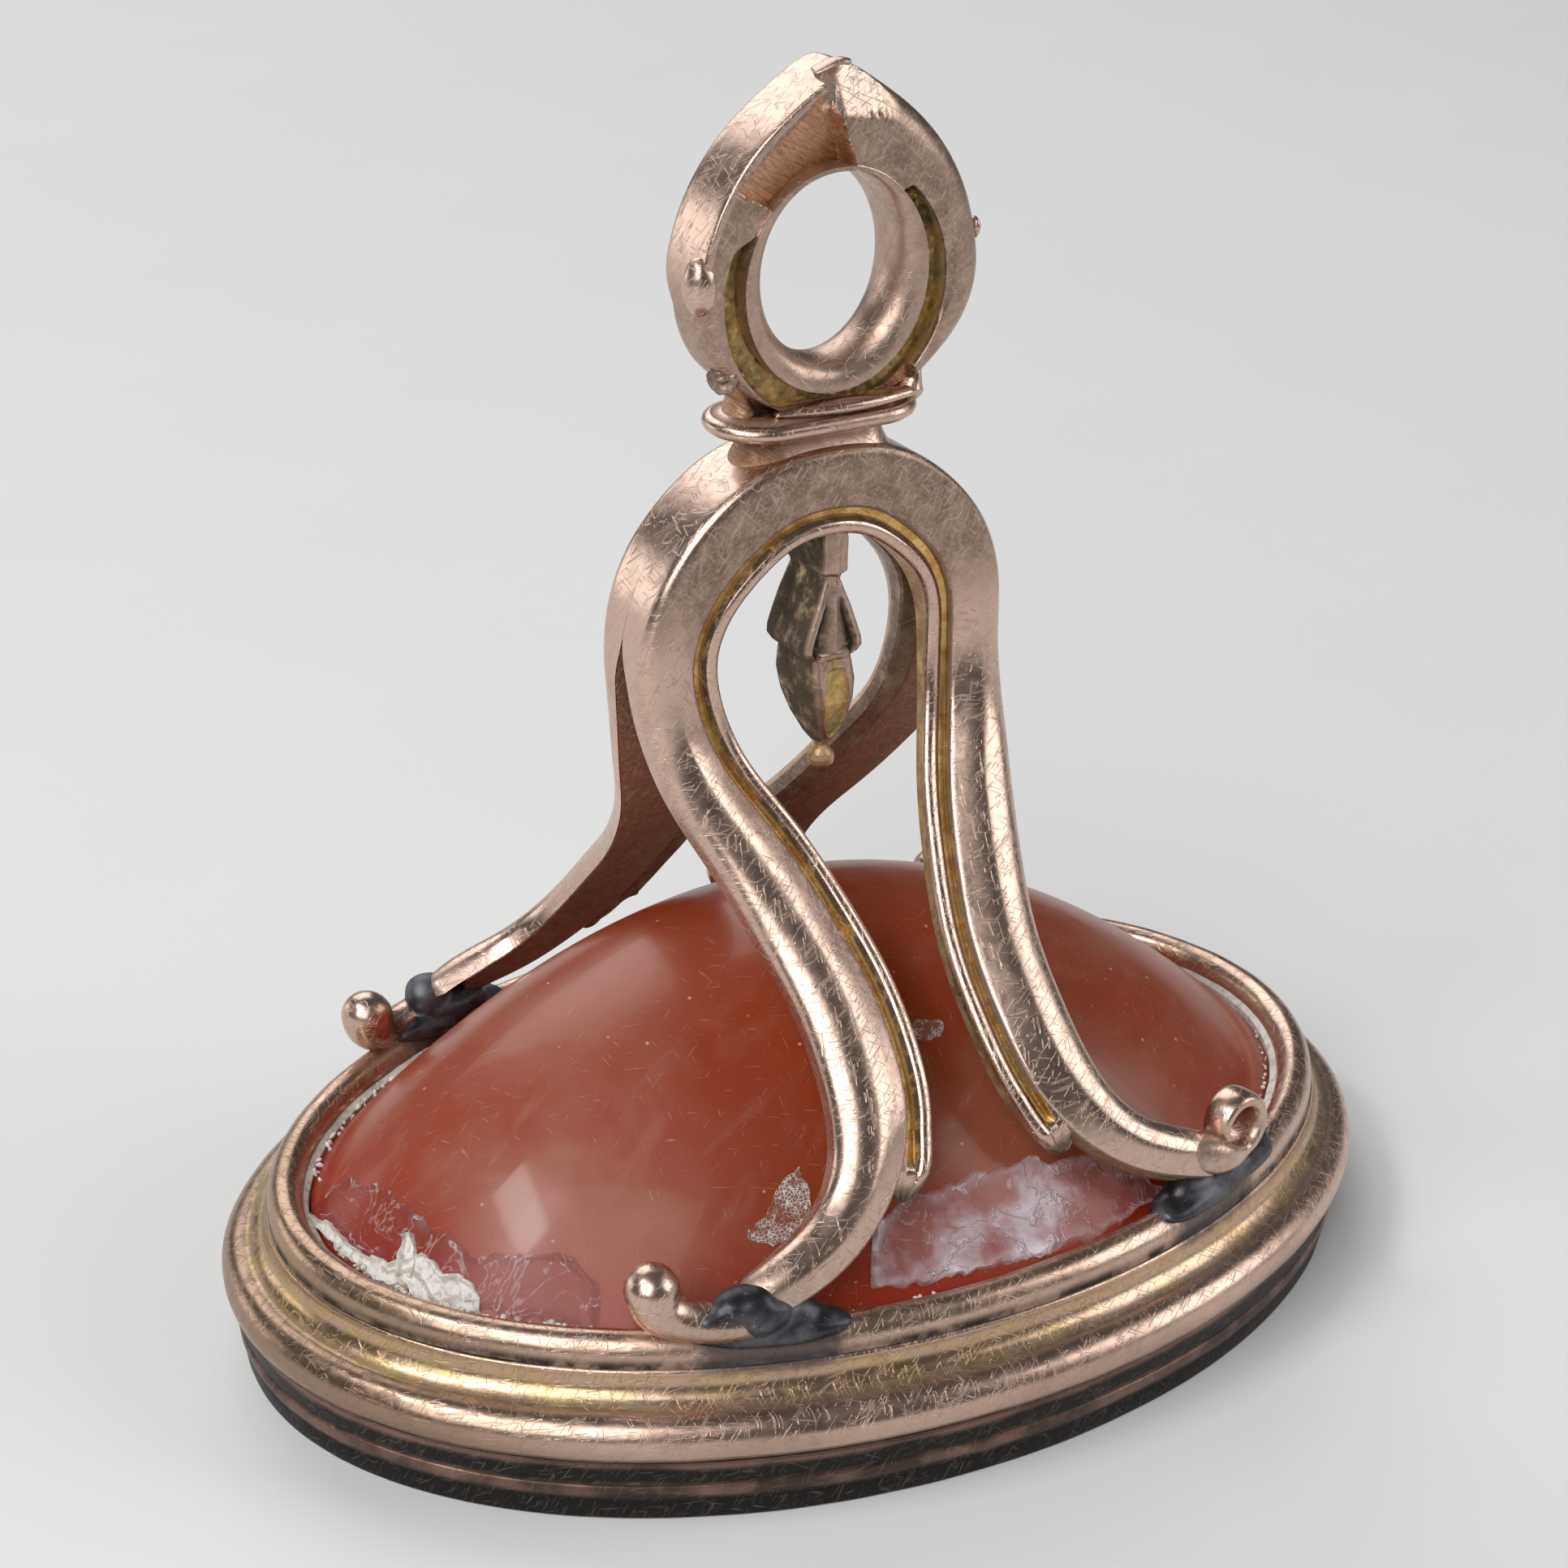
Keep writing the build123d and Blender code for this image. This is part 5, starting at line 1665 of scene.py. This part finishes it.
def build_drop():
    """The drop: a block, a husk with chevron ribs, a leaf shaped bud and a bead."""
    heights, *columns = np.transpose(DROP_ROWS)
    wanted = np.unique(np.concatenate([np.linspace(heights[0], heights[-1], DROP_STEPS), heights]))[::-1]
    rows = zip(wanted, *(np.interp(-wanted, -heights, column) for column in columns))
    angles = full_circle(DROP_SIDES)
    places, gilts, dirt_and_side_shade, browns = [], [], [], []
    for z, wide, deep, power in rows:
        across, forward = squared_circle(angles, power)
        x, y = across * wide, forward * deep
        facing = ease(np.abs(y) / deep, 0.6, 0.97)
        reach = np.interp(z, *zip(*DROP_BLADE))
        blade = ease(reach - np.abs(x), -0.02, 0.05)
        rib = ease(np.abs(x), wide - 0.26, wide - 0.18)
        husk = float(ease(z, 15.20, 15.26) * (1 - ease(z, 16.82, 16.98)))
        groove = (1 - np.maximum(blade, rib)) * husk
        leaf = 1 - ((z - 14.2) / 1.05) ** 2 - np.abs(x / 0.30) ** 1.8
        recess = ease(leaf, 0.0, 0.2)
        relief = 0.09 * blade * float(ease(z, 13.0, 13.4)) + 0.03 * rib * husk - 0.12 * groove - 0.12 * recess
        y = y + np.sign(y) * relief * facing
        # Painted shade: the drop's narrow sides go dark with the dirt and brown masks, besides real dirt in the grooves
        side = (1 - ease(np.abs(y) / deep, 0.85, 0.99)) * (z > 13.0)
        places.append(level_ring(x, y, z))
        gilts.append(np.maximum(recess, 0.5 * (z < 12.9) + 0.25 * side))
        dirt_and_side_shade.append(np.clip(np.maximum(side * 0.82, groove), 0, 1))
        browns.append(np.maximum(side, 0.55))
    mesh = solid("drop_worn", skin(leaned(places) + (DROP_SHIFT, 0, 0), gilt=gilts, dirt=dirt_and_side_shade, brown=browns))
    gold = finish_of("drop_gold", worn_gold, tarnish=0.9, roughness=0.3, deep_gilding=DROP_GILDING)
    nodes = ("drop_hanger", "drop_husk", "drop_bud", "drop_bead")
    settle("drop_worn", mesh, gold, "recess_gilt", *nodes, sharp=50)


# ---------------------------------------------------------------- stage

# In m
FLOOR_REACH = 1.5
# In mm, a hair under the seal
FLOOR_LEVEL = -0.01
WORLD_GREY = (0.085, 0.085, 0.09)
# Name, place in m, width and height in m and brightness of each soft box
LAMPS = (
    ("key_lamp", (-0.22, -0.14, 0.22), 0.26, 0.26, 3.6),
    ("fill_lamp", (0.26, -0.16, 0.16), 0.22, 0.22, 2.5),
    ("back_lamp", (0.04, 0.26, 0.22), 0.26, 0.26, 2.1),
    ("side_lamp", (-0.20, 0.26, 0.06), 0.20, 0.10, 1.7),
    ("strip_lamp", (-0.15, 0.01, 0.197), 0.09, 0.02, 22.0),
)
# Where they point, in m
LAMP_AIM = Vector((0, 0, 0.012))
# The camera: azimuth, elevation and roll in degrees, then its aim, sideways shift and distance in mm
CAMERA_TURNS = (-31.227, 24.934, 1.101)
CAMERA_AIM = Vector((0, 0, 11.85))
CAMERA_SHIFT = -0.705
CAMERA_DISTANCE = 75.744
CAMERA_SENSOR, CAMERA_LENS = 36, 78.49


def build_floor():
    """The pale card under the seal."""
    floor = bpy.data.meshes.new("floor")
    reach, low = FLOOR_REACH, FLOOR_LEVEL * MM
    corners = [(-reach, -reach, low), (reach, -reach, low), (reach, reach, low), (-reach, reach, low)]
    floor.from_pydata(corners, [], [(0, 1, 2, 3)])
    floor.materials.append(finish_of("pale_floor", pale_floor))
    put_in_scene("floor", floor)


def build_lamps():
    """The soft boxes and the grey surroundings."""
    world = bpy.data.worlds.new("studio")
    bpy.context.scene.world = world
    world.use_nodes = True
    background = world.node_tree.nodes["Background"]
    background.inputs["Color"].default_value = (*WORLD_GREY, 1)
    background.inputs["Strength"].default_value = 1.0
    for name, place, width, height, brightness in LAMPS:
        lamp = bpy.data.lights.new(name, "AREA")
        lamp.shape = "RECTANGLE"
        lamp.size = width
        lamp.size_y = height
        lamp.energy = brightness * math.pi * width * height
        aim = LAMP_AIM - Vector(place)
        turn = aim.to_track_quat("-Z", "Y").to_matrix().to_4x4()
        put_in_scene(name, lamp).matrix_world = Matrix.Translation(place) @ turn


def build_camera():
    """The camera at the photograph's angle."""
    azimuth, elevation, roll = (math.radians(a) for a in CAMERA_TURNS)
    level = math.cos(elevation)
    back = Vector((math.sin(azimuth) * level, -math.cos(azimuth) * level, math.sin(elevation)))
    right = Vector((math.cos(azimuth), math.sin(azimuth), 0))
    up = back.cross(right)
    turned_right = math.cos(roll) * right + math.sin(roll) * up
    turned_up = math.cos(roll) * up - math.sin(roll) * right
    target = CAMERA_AIM + right * CAMERA_SHIFT
    data = bpy.data.cameras.new("camera")
    data.sensor_width = CAMERA_SENSOR
    data.lens = CAMERA_LENS
    data.clip_start = 0.005
    camera = put_in_scene("camera", data)
    camera.matrix_world = Matrix((turned_right, turned_up, back)).transposed().to_4x4()
    camera.matrix_world.translation = (target + back * CAMERA_DISTANCE) * MM
    bpy.context.scene.camera = camera
    bpy.context.scene.view_settings.view_transform = "Standard"


def build_stage():
    """Floor, soft lamps, the grey surroundings and the camera at the photograph's angle."""
    build_floor()
    build_lamps()
    build_camera()


# ---------------------------------------------------------------- operators


class SEAL_OT_stage(bpy.types.Operator):
    """Set the floor, the lamps and the camera"""

    bl_idname = "seal.stage"
    bl_label = "Stage"

    def execute(self, context):
        build_stage()
        return {"FINISHED"}


class SEAL_OT_base(bpy.types.Operator):
    """Make the mouldings of the oval base"""

    bl_idname = "seal.base"
    bl_label = "Base"

    def execute(self, context):
        build_base()
        return {"FINISHED"}


class SEAL_OT_stone(bpy.types.Operator):
    """Make the domed stone"""

    bl_idname = "seal.stone"
    bl_label = "Stone"

    def execute(self, context):
        build_stone()
        return {"FINISHED"}


class SEAL_OT_residue(bpy.types.Operator):
    """Make the old glue and the crumbs of putty on the stone"""

    bl_idname = "seal.residue"
    bl_label = "Glue and putty"

    def execute(self, context):
        build_residue()
        return {"FINISHED"}


class SEAL_OT_arches(bpy.types.Operator):
    """Make the two arches of the stirrup"""

    bl_idname = "seal.arches"
    bl_label = "Arches"

    def execute(self, context):
        for rear in (False, True):
            build_arch(rear)
        return {"FINISHED"}


class SEAL_OT_feet(bpy.types.Operator):
    """Make the scrolls and the solder at the feet"""

    bl_idname = "seal.feet"
    bl_label = "Feet"

    def execute(self, context):
        build_scrolls()
        build_solder()
        return {"FINISHED"}


class SEAL_OT_neck(bpy.types.Operator):
    """Make the neck, its plate and the wedges under the bow"""

    bl_idname = "seal.neck"
    bl_label = "Neck"

    def execute(self, context):
        build_neck()
        return {"FINISHED"}


class SEAL_OT_bow(bpy.types.Operator):
    """Make the bow, its liner and its studs"""

    bl_idname = "seal.bow"
    bl_label = "Bow"

    def execute(self, context):
        build_bow()
        return {"FINISHED"}


class SEAL_OT_drop(bpy.types.Operator):
    """Make the drop under the crown"""

    bl_idname = "seal.drop"
    bl_label = "Drop"

    def execute(self, context):
        build_drop()
        return {"FINISHED"}


class SEAL_PT_sidebar(bpy.types.Panel):
    """Lists the steps and the sizes"""

    bl_idname = "SEAL_PT_sidebar"
    bl_label = "Fob seal"
    bl_space_type = "VIEW_3D"
    bl_region_type = "UI"
    bl_category = "Fob seal"

    def draw(self, context):
        for step in STEPS:
            self.layout.operator(step.bl_idname)
        for group in (context.scene.seal_sizes, context.scene.seal_colours):
            for name in group.__annotations__:
                self.layout.prop(group, name)


STEPS = (
    SEAL_OT_stage,
    SEAL_OT_base,
    SEAL_OT_stone,
    SEAL_OT_residue,
    SEAL_OT_arches,
    SEAL_OT_feet,
    SEAL_OT_neck,
    SEAL_OT_bow,
    SEAL_OT_drop,
)
CLASSES = (SealSizes, SealColours, *STEPS, SEAL_PT_sidebar)


def register():
    for made in CLASSES:
        bpy.utils.register_class(made)
    bpy.types.Scene.seal_sizes = PointerProperty(type=SealSizes)
    bpy.types.Scene.seal_colours = PointerProperty(type=SealColours)


def unregister():
    del bpy.types.Scene.seal_sizes
    del bpy.types.Scene.seal_colours
    for made in reversed(CLASSES):
        bpy.utils.unregister_class(made)


def main():
    register()
    for step in STEPS:
        group, name = step.bl_idname.split(".")
        getattr(getattr(bpy.ops, group), name)()


if __name__ == "__main__":
    main()
